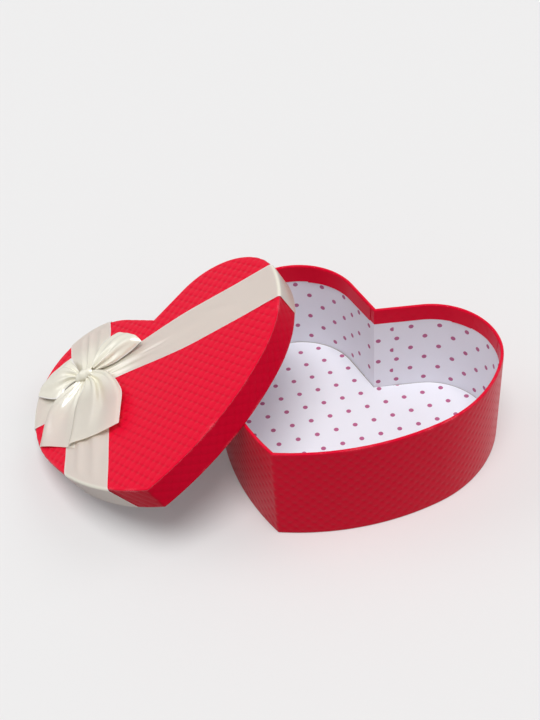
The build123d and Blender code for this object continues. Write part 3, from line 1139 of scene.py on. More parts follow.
def finish_wrap(piece, folds, rubbed_glint_folds, inside, relief, material):
    """Map, emboss, thicken and finish a red wrap, whose first part lies inside the box."""
    map_paper(piece)
    points = points_of(piece)
    along, _ = outline_place(points[:, 0], points[:, 1])
    up = read(piece, "up_the_paper")
    flat = soft_step(from_folds(up, folds), 0, FOLD_CLEAR)
    mark_rubbed_glint_folds(piece, up, rubbed_glint_folds)
    emboss(piece, along, up, np.where(up < inside, INSIDE_RELIEF, relief) * flat)
    piece.data.materials.append(material)
    piece.data.materials.append(cut_edge)
    thicken(piece, PAPER, rim_slot=1)
    smooth(piece)

# %% [markdown]
# ### Wrapping the base
#
# The profile goes from inside the rim to the fold under the bottom, and is spun round the
# heart. A box with bevelled edges would look much the same, but it would know nothing of the
# sheet. Here the distance up the paper tells where each fold is: there the relief stops, and
# along the rim's outer fold the colour is scuffed paler, which also paints a glint there.

# %% Base wrap
BASE_RELIEF = 0.8
FACING_RIGHT = Vector((1, 0, 0))
WALL_SPOT = Vector((BOX_WIDTH / 2, WIDEST_Y, BASE_HEIGHT / 2))
rim_in = (MOUTH + RIM_ROUND, BASE_HEIGHT - RIM_ROUND)
rim_out = (-RIM_ROUND, BASE_HEIGHT - RIM_ROUND)
foot = (-FOOT_ROUND, LAYER + FOOT_ROUND)
inside = straight((MOUTH, BASE_HEIGHT - BASE_TURN_IN), (MOUTH, rim_in[1]), EMBOSS_STEP)
over_in = fold(rim_in, RIM_ROUND, 180, 90)
over_flat = straight((rim_in[0], BASE_HEIGHT), (rim_out[0], BASE_HEIGHT), EMBOSS_STEP)
over_out = fold(rim_out, RIM_ROUND, 90, 0)
outside = straight((0, rim_out[1]), (0, foot[1]), EMBOSS_STEP)
under_fold = fold(foot, FOOT_ROUND, 0, -90, 3)
under = straight((foot[0], LAYER), (-BASE_FOLD_UNDER, LAYER), BASE_FOLD_UNDER / 2)
profile = joined(inside, over_in, over_flat, over_out, outside, under_fold, under)
base_wrap = heart_sheet("red_wrap_base", profile, EMBOSS_STEP)
face_outwards(base_wrap, (WALL_SPOT, FACING_RIGHT))

rim_start = length_of(inside)
rim_end = length_of(joined(inside, over_in, over_flat, over_out))
foot_at = rim_end + length_of(outside)
outer_rim = rim_end - length_of(over_out) / 2
folds = (0.0, rim_start, rim_end, foot_at)
finish_wrap(base_wrap, folds, (outer_rim,), rim_start, BASE_RELIEF, red_paper)
settle(base_wrap, "base", "red_paper", "base_wrap")

# %% [markdown]
# ## Laps in the turned-in paper
#
# On the curved lobes the turned-in edge is slit, and its tabs lie over one another. Slits would
# mean cutting the wrap's mesh open. Each lap is instead a short piece of the same paper, one
# sheet further in, so it throws the fine dark line that the seams have. It starts as a flat grid,
# and every vertex is put at its distance along the rim.

# %% Rim laps
LAP_SLACK = 0.04 * MM
LAP_SLANT = 1.2 * MM
LAP_GRID = (24, 8)
# Where each lap starts and ends along the rim, and how far each end hangs below the turned-in edge.
LAPS = (
    (331.3 * MM, 355.5 * MM, 0.4 * MM, 0.4 * MM),
    (287.0 * MM, 309.0 * MM, -0.3 * MM, -0.3 * MM),
    (-331.0 * MM, -256.0 * MM, 1.6 * MM, 1.6 * MM),
    (4 * MM - CLEFT_AT, -328.0 * MM, 0.0, 2.4 * MM),
)


def outline_point(along, out):
    """Points at distances along the outline from the tip, left ones negative, moved out."""
    along, out = np.broadcast_arrays(np.asarray(along, float), np.asarray(out, float))
    run = np.abs(along) - arcs_length()
    x = LOBE_END[0] + run * math.sin(CLEFT_HEADING) + out * math.cos(CLEFT_HEADING)
    y = LOBE_END[1] + run * math.cos(CLEFT_HEADING) - out * math.sin(CLEFT_HEADING)
    before = 0.0
    for centre_x, centre_y, radius, first, last in ARCS:
        heading = first - (np.abs(along) - before) / radius
        here = (np.abs(along) >= before) & (heading >= last)
        x = np.where(here, centre_x + (radius + out) * np.cos(heading), x)
        y = np.where(here, centre_y - (radius + out) * np.sin(heading), y)
        before += radius * (first - last)
    return np.stack([np.where(along < 0, -x, x), y], axis=-1)


def new_grid(name, columns, rows, size=1):
    """A flat square grid of faces."""
    bpy.ops.object.select_all(action="DESELECT")
    bpy.ops.mesh.primitive_grid_add(x_subdivisions=columns, y_subdivisions=rows, size=size)
    bpy.context.object.name = name
    return bpy.context.object


def rim_lap(name, first, last, first_drop, last_drop):
    """A tab of turned-in paper between two places along the rim."""
    lap = new_grid(name, *LAP_GRID)
    top = BASE_HEIGHT - RIM_ROUND
    places = []
    for x, y, _ in points_of(lap):
        share, height = x + 0.5, y + 0.5
        bottom = BASE_HEIGHT - BASE_TURN_IN - first_drop - (last_drop - first_drop) * share
        slant = LAP_SLANT * (1 - height) * (0.5 - share) * 2
        spot = outline_point(first + (last - first) * share + slant, MOUTH - PAPER - LAP_SLACK)
        places.append((*spot, bottom + (top - bottom) * height))
    move_points(lap, places)
    centre = Vector(places[len(places) // 2])
    face_outwards(lap, (centre, Vector((-centre.x, 0, 0)).normalized()))
    lap.data.materials.append(plain_red)
    thicken(lap, PAPER)
    smooth(lap)
    settle(lap, "base", "red_paper")


for index, lap in enumerate(LAPS):
    rim_lap(f"rim_lap_{index + 1}", *lap)

# %% [markdown]
# ## The dotted liner
#
# The wall's liner is a strip of printed paper, so its dots follow the strip and not the room:
# they read its UV map. Projected from above or from the side, they would stretch where the wall
# turns away. The sheet is a straight profile, spun like the wrap. On the left half the print is
# shifted, because that half was cut from another part of the sheet.

# %% Wall liner
FLOOR_LINER_TOP = 2 * LAYER + BOARD + LAYER
LINER_STEP = 4 * MM
LEFT_DOTS_SHIFT = (16.3 * MM, -1.5 * MM)
wall_foot = FLOOR_LINER_TOP - PAPER
wall_top = BASE_HEIGHT - LAYER
profile = straight((LINER_IN, wall_foot), (LINER_IN, wall_top), LINER_STEP)
wall_liner = heart_sheet("dotted_liner_wall", profile, LINER_STEP)
face_outwards(wall_liner, (WALL_SPOT, -FACING_RIGHT))
store(wall_liner, "up_the_paper", read(wall_liner, "up_the_paper") + wall_foot)
map_paper(wall_liner, LINER_IN, LEFT_DOTS_SHIFT)
wall_liner.data.materials.append(dotted_wall)
thicken(wall_liner, PAPER)
smooth(wall_liner)
settle(wall_liner, "base", "dotted_paper", "base_wall_liner")

# %% [markdown]
# ### The strip over the cleft's corner
#
# A narrow strip covers the corner at the cleft, and its dots run out of step with the wall's,
# as they would when it was cut from another part of the sheet. It could be a plane with a bevel
# along its middle. A small grid that is folded by moving its vertices also gives the UV map,
# from the same two numbers.

# %% Strip over the cleft's corner
STRIP_REACH = 19.5 * MM
STRIP_LIFT = 0.35 * MM
STRIP_GAP = 0.1 * MM
STRIP_GRID = (12, 10)
strip_height = BASE_HEIGHT - BASE_TURN_IN - STRIP_GAP - wall_foot
corner_y = LOBE_END[1] - LOBE_END[0] / math.tan(CLEFT_HEADING)
corner_y += (LINER_IN - STRIP_LIFT) / abs(math.sin(CLEFT_HEADING))
strip = new_grid("dotted_liner_cleft", *STRIP_GRID)
flat_strip = (points_of(strip)[:, :2] + (0, 0.5)) * (2 * STRIP_REACH, strip_height) + (0, wall_foot)
places = np.stack([
    -flat_strip[:, 0] * math.sin(CLEFT_HEADING),
    corner_y - np.abs(flat_strip[:, 0]) * math.cos(CLEFT_HEADING),
    flat_strip[:, 1],
], axis=1)
for loop in strip.data.loops:
    strip.data.uv_layers[0].data[loop.index].uv = flat_strip[loop.vertex_index]
move_points(strip, places)
face_outwards(strip, (Vector(places[len(places) // 2]), Vector((0, -1, 0))))
strip.data.materials.append(dotted_cleft)
thicken(strip, PAPER)
smooth(strip)
settle(strip, "base", "dotted_paper")

# %% [markdown]
# ### The floor's sheet
#
# The floor's sheet is a heart that stops a millimetre short of the wall, which leaves the thin
# grey line around it. A heart could be cut from a plane, but a spun edge fits the wall exactly:
# two rows of vertices, and one face that fills the middle. The sheet was laid in by hand, so it
# is turned by a hair.

# %% Floor liner
FLOOR_GAP = 0.9 * MM
FLOOR_SKEW = math.radians(0.15)
FACING_UP = Vector((0, 0, 1))
rim = (LINER_IN - FLOOR_GAP, FLOOR_LINER_TOP)
floor_liner = heart_sheet("dotted_liner_floor", [rim, (rim[0] - LINER_STEP, rim[1])], LINER_STEP)
inner = read(floor_liner, "up_the_paper") > LINER_STEP / 2
edit_chosen(floor_liner, "EDGE", inner[edge_ends(floor_liner)].all(axis=1))
bpy.ops.mesh.edge_face_add()
close_edit()
face_outwards(floor_liner, (Vector((0, 0, FLOOR_LINER_TOP)), FACING_UP))
floor_liner.data.transform(Matrix.Rotation(FLOOR_SKEW, 4, "Z"))
floor_liner.data.materials.append(dotted_floor)
thicken(floor_liner, PAPER)
smooth(floor_liner)
settle(floor_liner, "base", "dotted_paper", "base_floor_liner")

# %% [markdown]
# ## The lid
#
# The lid leans on the base, so nothing on it is level. To model it there would be hard on the
# eye and on the numbers. It is modelled lying flat, with its own middle at the origin, and each
# piece is then laid in its leaning place by one matrix.

# %% Place of the lid
LID_HEIGHT = 28 * MM
LID_PLAY = 1.8 * MM
LID_TILT = math.radians(28.35)
LEAN_HEADING = math.radians(31.4)
FOOT_OUT = 132.5 * MM
FOOT_FORWARD = 151.5 * MM
RIBBON = 0.3 * MM
STACK = RIBBON + GLUE
FLANGE_OUT = LID_PLAY + LAYER + BOARD + LAYER
LID_OUTSIDE = FLANGE_OUT + LAYER
lid_place = (
    Matrix.Translation((-BOX_WIDTH / 2 - FOOT_OUT, WIDEST_Y - FOOT_FORWARD, 0))
    @ Matrix.Rotation(LEAN_HEADING, 4, "Z")
    @ Matrix.Rotation(-LID_TILT, 4, "Y")
    @ Matrix.Translation((BOX_WIDTH / 2 + LID_OUTSIDE + STACK, -WIDEST_Y, STACK))
)


def lay_on_lid(piece):
    """Move a piece's mesh from the flat lid to the leaning one."""
    piece.data.transform(lid_place)
    piece.data.update()


middle_at = lid_place @ Vector((0, 0, LID_HEIGHT))
print("middle of the lid's top at", [round(value / MM) for value in middle_at], "mm")

# %% [markdown]
# ### The edge of the lid's top paper
#
# The top paper turns over the panel's edge and runs a little way down the skirt. That edge is
# spun like the base's wrap, with a small round. A spun sheet can't go on to the middle of the
# lid: its rows would crowd together there, while the embossing runs straight across.

# %% Lid's edge
LID_FLANGE = 12 * MM
LID_EDGE_ROUND = 0.9 * MM
EDGE_RUN = 6 * MM
edge_at = (FLANGE_OUT - LID_EDGE_ROUND, LID_HEIGHT - LID_EDGE_ROUND)
flange = straight((FLANGE_OUT, LID_HEIGHT - LID_FLANGE), (FLANGE_OUT, edge_at[1]), LID_FLANGE / 3)
edge = fold(edge_at, LID_EDGE_ROUND, 0, 90)
onto_top = straight((edge_at[0], LID_HEIGHT), (FLANGE_OUT - EDGE_RUN, LID_HEIGHT), EMBOSS_STEP)
profile = joined(flange, edge, onto_top)
lid_top = heart_sheet("red_wrap_lid_top", profile, EMBOSS_STEP)
edge_middle = length_of(flange) + length_of(edge) / 2
top_from = length_of(profile)
print("lid's edge", len(lid_top.data.polygons), "faces")

# %% [markdown]
# ### The flat of the lid's top paper
#
# So the flat is a fine grid, laid so that its lines run through the dents. A knife or a boolean
# could cut it to the heart, but would leave slivers. Deleting the vertices outside leaves whole
# faces and a stepped edge. A large number up the paper marks the grid's vertices.

# %% Lid's flat
GRID_MARGIN = 1.0 * MM
LID_DENT = -23.8 * MM
GRID_MARK = 1.0
columns = 2 * math.ceil((BOX_WIDTH / 2 + FLANGE_OUT) / EMBOSS_STEP)
middle = new_grid("lid_top_middle", columns, columns, columns * EMBOSS_STEP)
grid = points_of(middle)
grid[:, 1] += LID_DENT
grid[:, 2] = LID_HEIGHT
move_points(middle, grid)
_, out = outline_place(grid[:, 0], grid[:, 1])
edit_chosen(middle, "VERT", out > FLANGE_OUT - EDGE_RUN - GRID_MARGIN)
bpy.ops.mesh.delete(type="VERT")
close_edit()
store(middle, "up_the_paper", np.full(len(middle.data.vertices), top_from + GRID_MARK))
print("lid's flat", len(middle.data.polygons), "faces")

# %% [markdown]
# ### Joining the flat and the edge
#
# Both are joined into one piece. The gap between the grid's steps and the edge could be bridged,
# but the two sides differ in count, so a fill closes it with triangles. It gets only the edges
# on both sides of the gap: those of the boundary that lie on the rim's last row or in the grid.

# %% Joining the flat and the edge
SAME_ROW = 1e-6
choose(lid_top)
middle.select_set(True)
bpy.ops.object.join()
up = read(lid_top, "up_the_paper")
on_rim = np.abs(up - top_from) < SAME_ROW
in_grid = up > top_from + GRID_MARK / 2
edit_all(lid_top)
bpy.ops.mesh.region_to_loop()
bpy.ops.object.mode_set(mode="OBJECT")
boundary = np.zeros(len(lid_top.data.edges), bool)
lid_top.data.edges.foreach_get("select", boundary)
ends = edge_ends(lid_top)
beside_gap = on_rim[ends].all(axis=1) | in_grid[ends].all(axis=1)
edit_chosen(lid_top, "EDGE", boundary & beside_gap)
bpy.ops.mesh.fill(use_beauty=True)
close_edit()
face_outwards(lid_top, (Vector((0, 0, LID_HEIGHT)), FACING_UP))
print("gap closed between", int((boundary & beside_gap).sum()), "edges")

# %% [markdown]
# ### Embossing the lid
#
# On the lid the quilt lies straight on the sheet, so its depth comes from x and y and not from
# the distance along the outline. The UV map is the same flat sheet, and the material's creases
# then meet the dents of the mesh. The relief stops short of the edge, where the colour is
# scuffed paler and a glint is painted.

# %% Lid's top paper
points = points_of(lid_top)
_, out = outline_place(points[:, 0], points[:, 1])
from_edge = np.where(points[:, 2] > LID_HEIGHT - SAME_ROW, edge_at[0] - out, 0.0)
mark_rubbed_glint_folds(lid_top, up, (edge_middle,))
emboss(lid_top, points[:, 0], points[:, 1] - LID_DENT, np.clip(from_edge / FOLD_CLEAR, 0, 1))
sheet = lid_top.data.uv_layers[0]
sheet.name = "paper"
corners = np.zeros(len(lid_top.data.loops), int)
lid_top.data.loops.foreach_get("vertex_index", corners)
flat_sheet = points[corners, :2] - (0, LID_DENT)
sheet.data.foreach_set("uv", flat_sheet.astype(np.float32).ravel())
lid_top.data.materials.append(lid_paper_painted_light)
lid_top.data.materials.append(cut_edge)
thicken(lid_top, PAPER, rim_slot=1)
smooth(lid_top)
lay_on_lid(lid_top)
settle(lid_top, "lid", "red_paper", "lid_top_wrap")

# %% [markdown]
# ### The skirt's paper
#
# A strip of the same paper goes round the skirt, over the flange of the top paper. It is turned
# under the hem and up inside, and stops a millimetre below the lid's edge, where its cut edge
# shows as a fine line. Like the base's wrap it starts inside, so the same helper finishes it.

# %% Skirt's paper
LID_TURN_IN = 22 * MM
LID_RIM_SETBACK = 1.0 * MM
HEM_ROUND = 0.9 * MM
SKIRT_RELIEF = 0.6
hem_in = (LID_PLAY + HEM_ROUND, HEM_ROUND)
hem_out = (LID_OUTSIDE - HEM_ROUND, HEM_ROUND)
skirt_top = LID_HEIGHT - LID_RIM_SETBACK
inside = straight((LID_PLAY, LID_TURN_IN), (LID_PLAY, HEM_ROUND), EMBOSS_STEP)
hem = joined(
    fold(hem_in, HEM_ROUND, 180, 270, 3),
    straight((hem_in[0], 0), (hem_out[0], 0), EMBOSS_STEP),
    fold(hem_out, HEM_ROUND, 270, 360, 3),
)
outside = straight((LID_OUTSIDE, HEM_ROUND), (LID_OUTSIDE, skirt_top), EMBOSS_STEP)
profile = joined(inside, hem, outside)
skirt = heart_sheet("red_wrap_lid_skirt", profile, EMBOSS_STEP)
skirt_spot = Vector((BOX_WIDTH / 2 + LID_OUTSIDE, WIDEST_Y, HEM_ROUND * 4))
face_outwards(skirt, (skirt_spot, FACING_RIGHT))
hem_start = length_of(inside)
hem_end = hem_start + length_of(hem)
rubbed_glint_folds = (length_of(profile), hem_end)
finish_wrap(skirt, (0.0, hem_start, hem_end), rubbed_glint_folds, hem_start, SKIRT_RELIEF, skirt_paper_painted_shade)
lay_on_lid(skirt)
settle(skirt, "lid", "red_paper", "lid_rim_wrap")

# %% [markdown]
# ## The ribbon bands
#
# Two lengths of satin cross the lid. A cloth simulation could drape them, but it would hardly
# come to rest in the same place twice. So each is a flat grid, shaped by moving its vertices and
# then thickened. Solidify's crease values keep the ribbon's edges sharp where the bow's pieces
# are subdivided afterwards.

# %% Ribbon helpers
def new_ribbon(name, across, along):
    """A flat grid for a ribbon, and the share across (-1 to 1) and along (0 to 1) of each vertex."""
    piece = new_grid(name, across, along, 2)
    grid = points_of(piece)
    return piece, grid[:, 0].copy(), (grid[:, 1] + 1) / 2


def map_ribbon(piece, width, length):
    """UV map in metres: across from the middle in x, along in y."""
    layer = piece.data.uv_layers[0]
    layer.name = "ribbon"
    uv = np.zeros(len(layer.data) * 2, np.float32)
    layer.data.foreach_get("uv", uv)
    uv = (uv.reshape(-1, 2) - (0.5, 0.0)) * (width, length)
    layer.data.foreach_set("uv", uv.astype(np.float32).ravel())


def finish_ribbon(piece, width, length, material, levels):
    """Map, thicken, smooth and place a ribbon that was shaped on the flat lid."""
    map_ribbon(piece, width, length)
    piece.data.materials.append(material)
    wall = piece.modifiers.new("thickness", "SOLIDIFY")
    wall.thickness = RIBBON
    wall.offset = 0
    wall.edge_crease_inner = 1.0
    wall.edge_crease_outer = 1.0
    wall.edge_crease_rim = 1.0
    apply_modifier(piece, wall)
    if levels:
        softer = piece.modifiers.new("softer", "SUBSURF")
        softer.levels = levels
        softer.render_levels = levels
        apply_modifier(piece, softer)
    smooth(piece)
    lay_on_lid(piece)

# %% [markdown]
# ### Lanes
#
# The grid's rows become lanes along the ribbon. The heart's edge is curved, so each lane meets
# it at another distance from the knot. That place could be solved arc by arc. Halving the
# stretch between a point inside and one outside finds it for all lanes at once, and works for
# any outline.

# %% Lanes
KNOT_FROM_END = 68 * MM
KNOT_ASIDE = 4 * MM
KNOT = Vector((KNOT_FROM_END - BOX_WIDTH / 2 - LID_OUTSIDE, WIDEST_Y + KNOT_ASIDE, 0))
LANE_INSIDE = 30 * MM
LANE_OUTSIDE = 260 * MM
HALVINGS = 40


def lane_points(share, along, width, turn):
    """Flat places of lanes: along the ribbon from the knot, and their share of its width."""
    x, y = along, share * width / 2
    cos, sin = math.cos(turn), math.sin(turn)
    return np.stack([KNOT.x + x * cos - y * sin, KNOT.y + x * sin + y * cos], axis=1)


def lane_reach(share, width_at, turn, outward, grow):
    """How far along each lane, from the knot, the lid's outline moved out by grow is crossed."""
    near = np.full_like(share, LANE_INSIDE)
    far = np.full_like(share, LANE_OUTSIDE)
    for _ in range(HALVINGS):
        middle = (near + far) / 2
        spots = lane_points(share, middle * outward, width_at(middle), turn)
        _, out = outline_place(spots[:, 0], spots[:, 1])
        near = np.where(out < grow, middle, near)
        far = np.where(out < grow, far, middle)
    return near


print("knot", [round(value / MM) for value in KNOT], "mm from the middle of the flat lid")

# %% [markdown]
# ### The shape of a band
#
# A lane runs along the top, rounds the edge where the outline crosses it, goes down the skirt,
# under its hem and up inside, where it is glued. A curve with a profile could follow that route,
# but it would twist where the edge is oblique. Here each stretch gets a share of the lane's
# vertices. Towards the knot the ribbon is gathered, so its lanes close up, and the cloth that is
# left over stands up in soft folds.

# %% Half of a band
TOP_SHARE = 0.74
FOLD_SHARE = 0.80
SKIRT_SHARE = 0.92
HEM_SHARE = 0.95
RIBBON_TAB = 15 * MM
GATHER_WIDTH = 26 * MM
GATHER_FROM = 8 * MM
EDGE_FOLD = 3.0 * MM
EDGE_PROUD = 0.7 * MM
PROUD_FROM = 0.8
LEVEL_REACH = 24 * MM
# Near the knot the cloth counts as gathered: less translucent, and painted cream as painted light.
LAYERED_TO = 20 * MM
THIN_FROM = 75 * MM
ON_TOP = LID_HEIGHT + EMBOSS_RISE + RIBBON / 2
ON_SKIRT = LID_OUTSIDE + EMBOSS_RISE + RIBBON / 2
ON_TAB = LID_PLAY - GLUE - RIBBON / 2
UNDER_HEM = -GLUE - RIBBON / 2


def stretch(part, start, end):
    """0 before a stretch of a lane, 1 after it, even between."""
    return np.clip((part - start) / (end - start), 0, 1)


def half_band(lane, part, outward, turn, reach, folds, slants, level):
    """Places of one half of a band, from the knot outwards, and the attribute that sets the cloth's
    translucency and paints it cream: gathered near the knot, and a painted highlight on the fold.
    """
    def width_at(distance):
        return GATHER_WIDTH + (RIBBON_WIDTH - GATHER_WIDTH) * soft_step(distance, GATHER_FROM, reach)

    def flat_at(distance):
        return lane_points(lane, distance * outward, width_at(distance), turn)

    to_edge = lane_reach(lane, width_at, turn, outward, ON_SKIRT + EDGE_PROUD - EDGE_FOLD)
    to_skirt = lane_reach(lane, width_at, turn, outward, ON_SKIRT + EDGE_PROUD)
    on_top = stretch(part, 0, TOP_SHARE) * to_edge
    bend = stretch(part, TOP_SHARE, FOLD_SHARE) * math.pi / 2
    down = stretch(part, FOLD_SHARE, SKIRT_SHARE)
    under = stretch(part, SKIRT_SHARE, HEM_SHARE)
    up = stretch(part, HEM_SHARE, 1)

    proud = EDGE_PROUD * soft_step(on_top / to_edge, PROUD_FROM, 1.0)
    height = ON_TOP + proud - EDGE_FOLD * (1 - np.cos(bend))
    height = height + (UNDER_HEM - height) * down + (RIBBON_TAB - UNDER_HEM) * up
    height = height + folds(lane, on_top, to_edge) + level * (1 - soft_step(on_top, 0, LEVEL_REACH))

    ends, inner = flat_at(to_skirt), flat_at(to_skirt - MM)
    at_end, out_end = outline_place(ends[:, 0], ends[:, 1])
    at_inner, out_inner = outline_place(inner[:, 0], inner[:, 1])
    slant = (slants[0] + slants[1] * lane) * (at_end - at_inner) / (out_end - out_inner)
    along_rim = np.sign(ends[:, 0]) * (at_end + slant * (ON_TOP - UNDER_HEM) * down)
    out = ON_SKIRT + EDGE_PROUD * (1 - down) + (ON_TAB - ON_SKIRT) * under
    flat = flat_at(on_top + (to_skirt - to_edge) * np.sin(bend))
    spots = np.where((down > 0)[:, None], outline_point(along_rim, out), flat)
    # Gathered near the knot; sin(2 * bend) paints a cream highlight on the fold over the lid's edge.
    layered_and_painted_light = np.maximum(1 - soft_step(on_top, LAYERED_TO, THIN_FROM), np.sin(2 * bend))
    return np.column_stack([spots, height]), layered_and_painted_light

# %% [markdown]
# ### Both halves of a band
#
# A band goes out from the knot to two sides, and its folds differ on each. Two separate ribbons
# would need a seam under the bow. One grid whose two halves are shaped in turn stays one cloth.

# %% Band
LANES = 40


def band(name, turn, reaches, folds, slants, level, stations):
    """A ribbon band across the lid: direction; gather reaches, folds and skirt slants on both sides."""
    piece, share, along = new_ribbon(name, LANES, stations)
    places = np.zeros((len(share), 3))
    layered_and_painted_light = np.zeros(len(share))
    for end, outward in ((0, -1.0), (1, 1.0)):
        here = (along >= 0.5) if outward > 0 else (along < 0.5)
        part = np.abs(along[here] - 0.5) * 2
        places[here], layered_and_painted_light[here] = half_band(
            share[here], part, outward, turn, reaches[end], folds[end], slants[end], level)
    move_points(piece, places)
    store(piece, "layered_and_painted_light", layered_and_painted_light)
    return piece

# %% [markdown]
# ### Folds in the cloth
#
# Folds could be sculpted, but then they would be lost with every change of the ribbon's route.
# Here they are heights that are added to the lanes: gathers at the knot, and rounded ridges,
# each with its place across the ribbon, its width and how far it runs. They die out before the
# lid's edge, where the ribbon is pulled tight.

# %% Folds in the cloth
FADE_FROM = 0.88


def wrinkle(share, at, half_width):
    """A rounded ridge along a ribbon, at a share of its width."""
    return np.exp(-((share - at) / half_width) ** 2)


def flat_edges(share):
    """1 inside a ribbon, falling to 0 at its two edges, which stay flat."""
    return 1 - share ** 8


def gathers(share, distance, count, height, reach, phase=0.0):
    """Folds where the cloth is drawn together at the knot, fading with the distance."""
    wave = 0.5 + 0.5 * np.cos(math.pi * count * share + phase)
    return height * wave * np.exp(-distance / reach) * flat_edges(share)


def fades(distance, reach, at=0.0):
    """1 at a distance from the knot, falling to both sides of it within a reach."""
    return np.exp(-((distance - at) / reach) ** 2)


def edge_fade(distance, to_edge):
    """1 on the lid, falling to 0 before the edge."""
    return 1 - soft_step(distance / to_edge, FADE_FROM, 1.0)

# %% [markdown]
# ### The long band
#
# One long soft wrinkle runs from the bow along the middle of the band and dies out half way. A
# fainter one lies beside it, with a small pinch and a slack spot further on. The band is glued
# only inside the skirt, so its ends lean a little where they go down over it.

# %% Long band
RIBBON_SLEW = math.radians(3)
LONG_CUT = 445 * MM
LONG_STATIONS = 300


def long_right(share, distance, to_edge):
    """Heights of the folds on the long side of the band."""
    drawn = gathers(share, distance, 4, 4.0 * MM, 26 * MM, 0.6)
    middle = 2.0 * MM * wrinkle(share, 0.18 - 0.1 * distance / to_edge, 0.34) * fades(distance, 110 * MM)
    side = 1.1 * MM * wrinkle(share, -0.62, 0.25) * fades(distance, 80 * MM)
    pinch = 0.9 * MM * wrinkle(share, -0.05, 0.07) * fades(distance, 14 * MM, 80 * MM)
    drift = 0.4 - 0.9 * (distance - 140 * MM) / (50 * MM)
    slack = 0.9 * MM * wrinkle(share, drift, 0.22) * fades(distance, 30 * MM, 165 * MM)
    return (drawn + middle + side + slack - pinch) * edge_fade(distance, to_edge)


def long_left(share, distance, to_edge):
    """Heights of the folds on the short side of the band."""
    drawn = gathers(share, distance, 4, 3.5 * MM, 20 * MM)
    ridge = 1.4 * MM * wrinkle(share, -0.2, 0.3) * fades(distance, 50 * MM)
    return (drawn + ridge) * edge_fade(distance, to_edge)


long_band = band(
    "satin_band_long", RIBBON_SLEW, reaches=(60 * MM, 130 * MM), folds=(long_left, long_right),
    slants=((0.5, 0.0), (0.5, 0.0)), level=0.0, stations=LONG_STATIONS)
finish_ribbon(long_band, RIBBON_WIDTH, LONG_CUT, band_satin, 0)
settle(long_band, "lid", "satin_ribbon", "ribbon_band_long")

# %% [markdown]
# ### The short band
#
# It crosses over the long one, so it is lifted at the knot. Above the bow it has one sharp pleat
# and softer ones beside it. Below the bow two broad folds run down to the edge. The same helpers
# shape it, only at a right angle.

# %% Short band
SHORT_CUT = 395 * MM
SHORT_STATIONS = 260
SHORT_LIFT = STACK * 8


def short_above(share, distance, to_edge):
    """Heights of the folds between the bow and the cleft's side."""
    drawn = gathers(share, distance, 3, 4.0 * MM, 30 * MM, 0.4)
    pleat = 2.6 * MM * wrinkle(share, 0.02, 0.09) + 1.8 * MM * wrinkle(share, 0.42, 0.13)
    pleat = pleat + 2.0 * MM * wrinkle(share, -0.5, 0.16)
    return (drawn + pleat * fades(distance, 75 * MM)) * edge_fade(distance, to_edge)


def short_below(share, distance, to_edge):
    """Heights of the folds between the bow and the tip's side."""
    drawn = gathers(share, distance, 3, 3.0 * MM, 30 * MM)
    broad = 3.0 * MM * wrinkle(share, -0.36, 0.2) + 2.6 * MM * wrinkle(share, 0.34, 0.17)
    return (drawn + broad * fades(distance, 130 * MM)) * edge_fade(distance, to_edge)


short_band = band(
    "satin_band_short", RIBBON_SLEW + math.pi / 2, reaches=(60 * MM, 60 * MM),
    folds=(short_below, short_above), slants=((0.45, -0.35), (0.5, 0.0)),
    level=SHORT_LIFT, stations=SHORT_STATIONS)
finish_ribbon(short_band, RIBBON_WIDTH, SHORT_CUT, band_satin, 0)
settle(short_band, "lid", "satin_ribbon", "ribbon_band_short")

# %% [markdown]
# ## The bow
#
# A bow is hard to simulate and easier to shape. Each loop and tail is a strip of the same
# ribbon, drawn through a small cage of points: a row of points across the strip, then the next
# row further along it. A subdivided cage would shrink away from its points. Catmull-Rom curves
# go through all of them, so a point can be set where the cloth is seen to be.

# %% Surface through a cage
def curve_weights(count, share):
    """Weights of a Catmull-Rom curve's points, one row for each share from 0 to 1."""
    spot = np.clip(share, 0, 1) * (count - 1)
    index = np.minimum(spot.astype(int), count - 2)
    t = spot - index
    basis = 0.5 * np.stack([
        -t + 2 * t ** 2 - t ** 3,
        2 - 5 * t ** 2 + 3 * t ** 3,
        t + 4 * t ** 2 - 3 * t ** 3,
        -t ** 2 + t ** 3,
    ], axis=1)
    weights = np.zeros((len(share), count + 2))
    for k in range(4):
        weights[np.arange(len(share)), index + k] += basis[:, k]
    weights[:, 1] += 2 * weights[:, 0]
    weights[:, 2] -= weights[:, 0]
    weights[:, -2] += 2 * weights[:, -1]
    weights[:, -3] -= weights[:, -1]
    return weights[:, 1:-1]


def through_cage(cage, across, along):
    """Places on the smooth surface through a cage, at shares across and along it."""
    points = np.array(cage, float) * MM
    first = curve_weights(points.shape[0], along)
    second = curve_weights(points.shape[1], across)
    return np.einsum("nr,nc,rcd->nd", first, second, points)

# %% [markdown]
# ### A strip of the bow
#
# That surface is too smooth at the knot, where the cloth is drawn together. More rows of points
# could hold the pleats, but they all follow one rule: they are waves across the strip, deep at
# the knot and shallow further out. So they are added along the surface's own normals.

# %% Bow strip
BOW_LANES = 32
ACROSS_STEP = 0.01
ALONG_STEP = 0.005


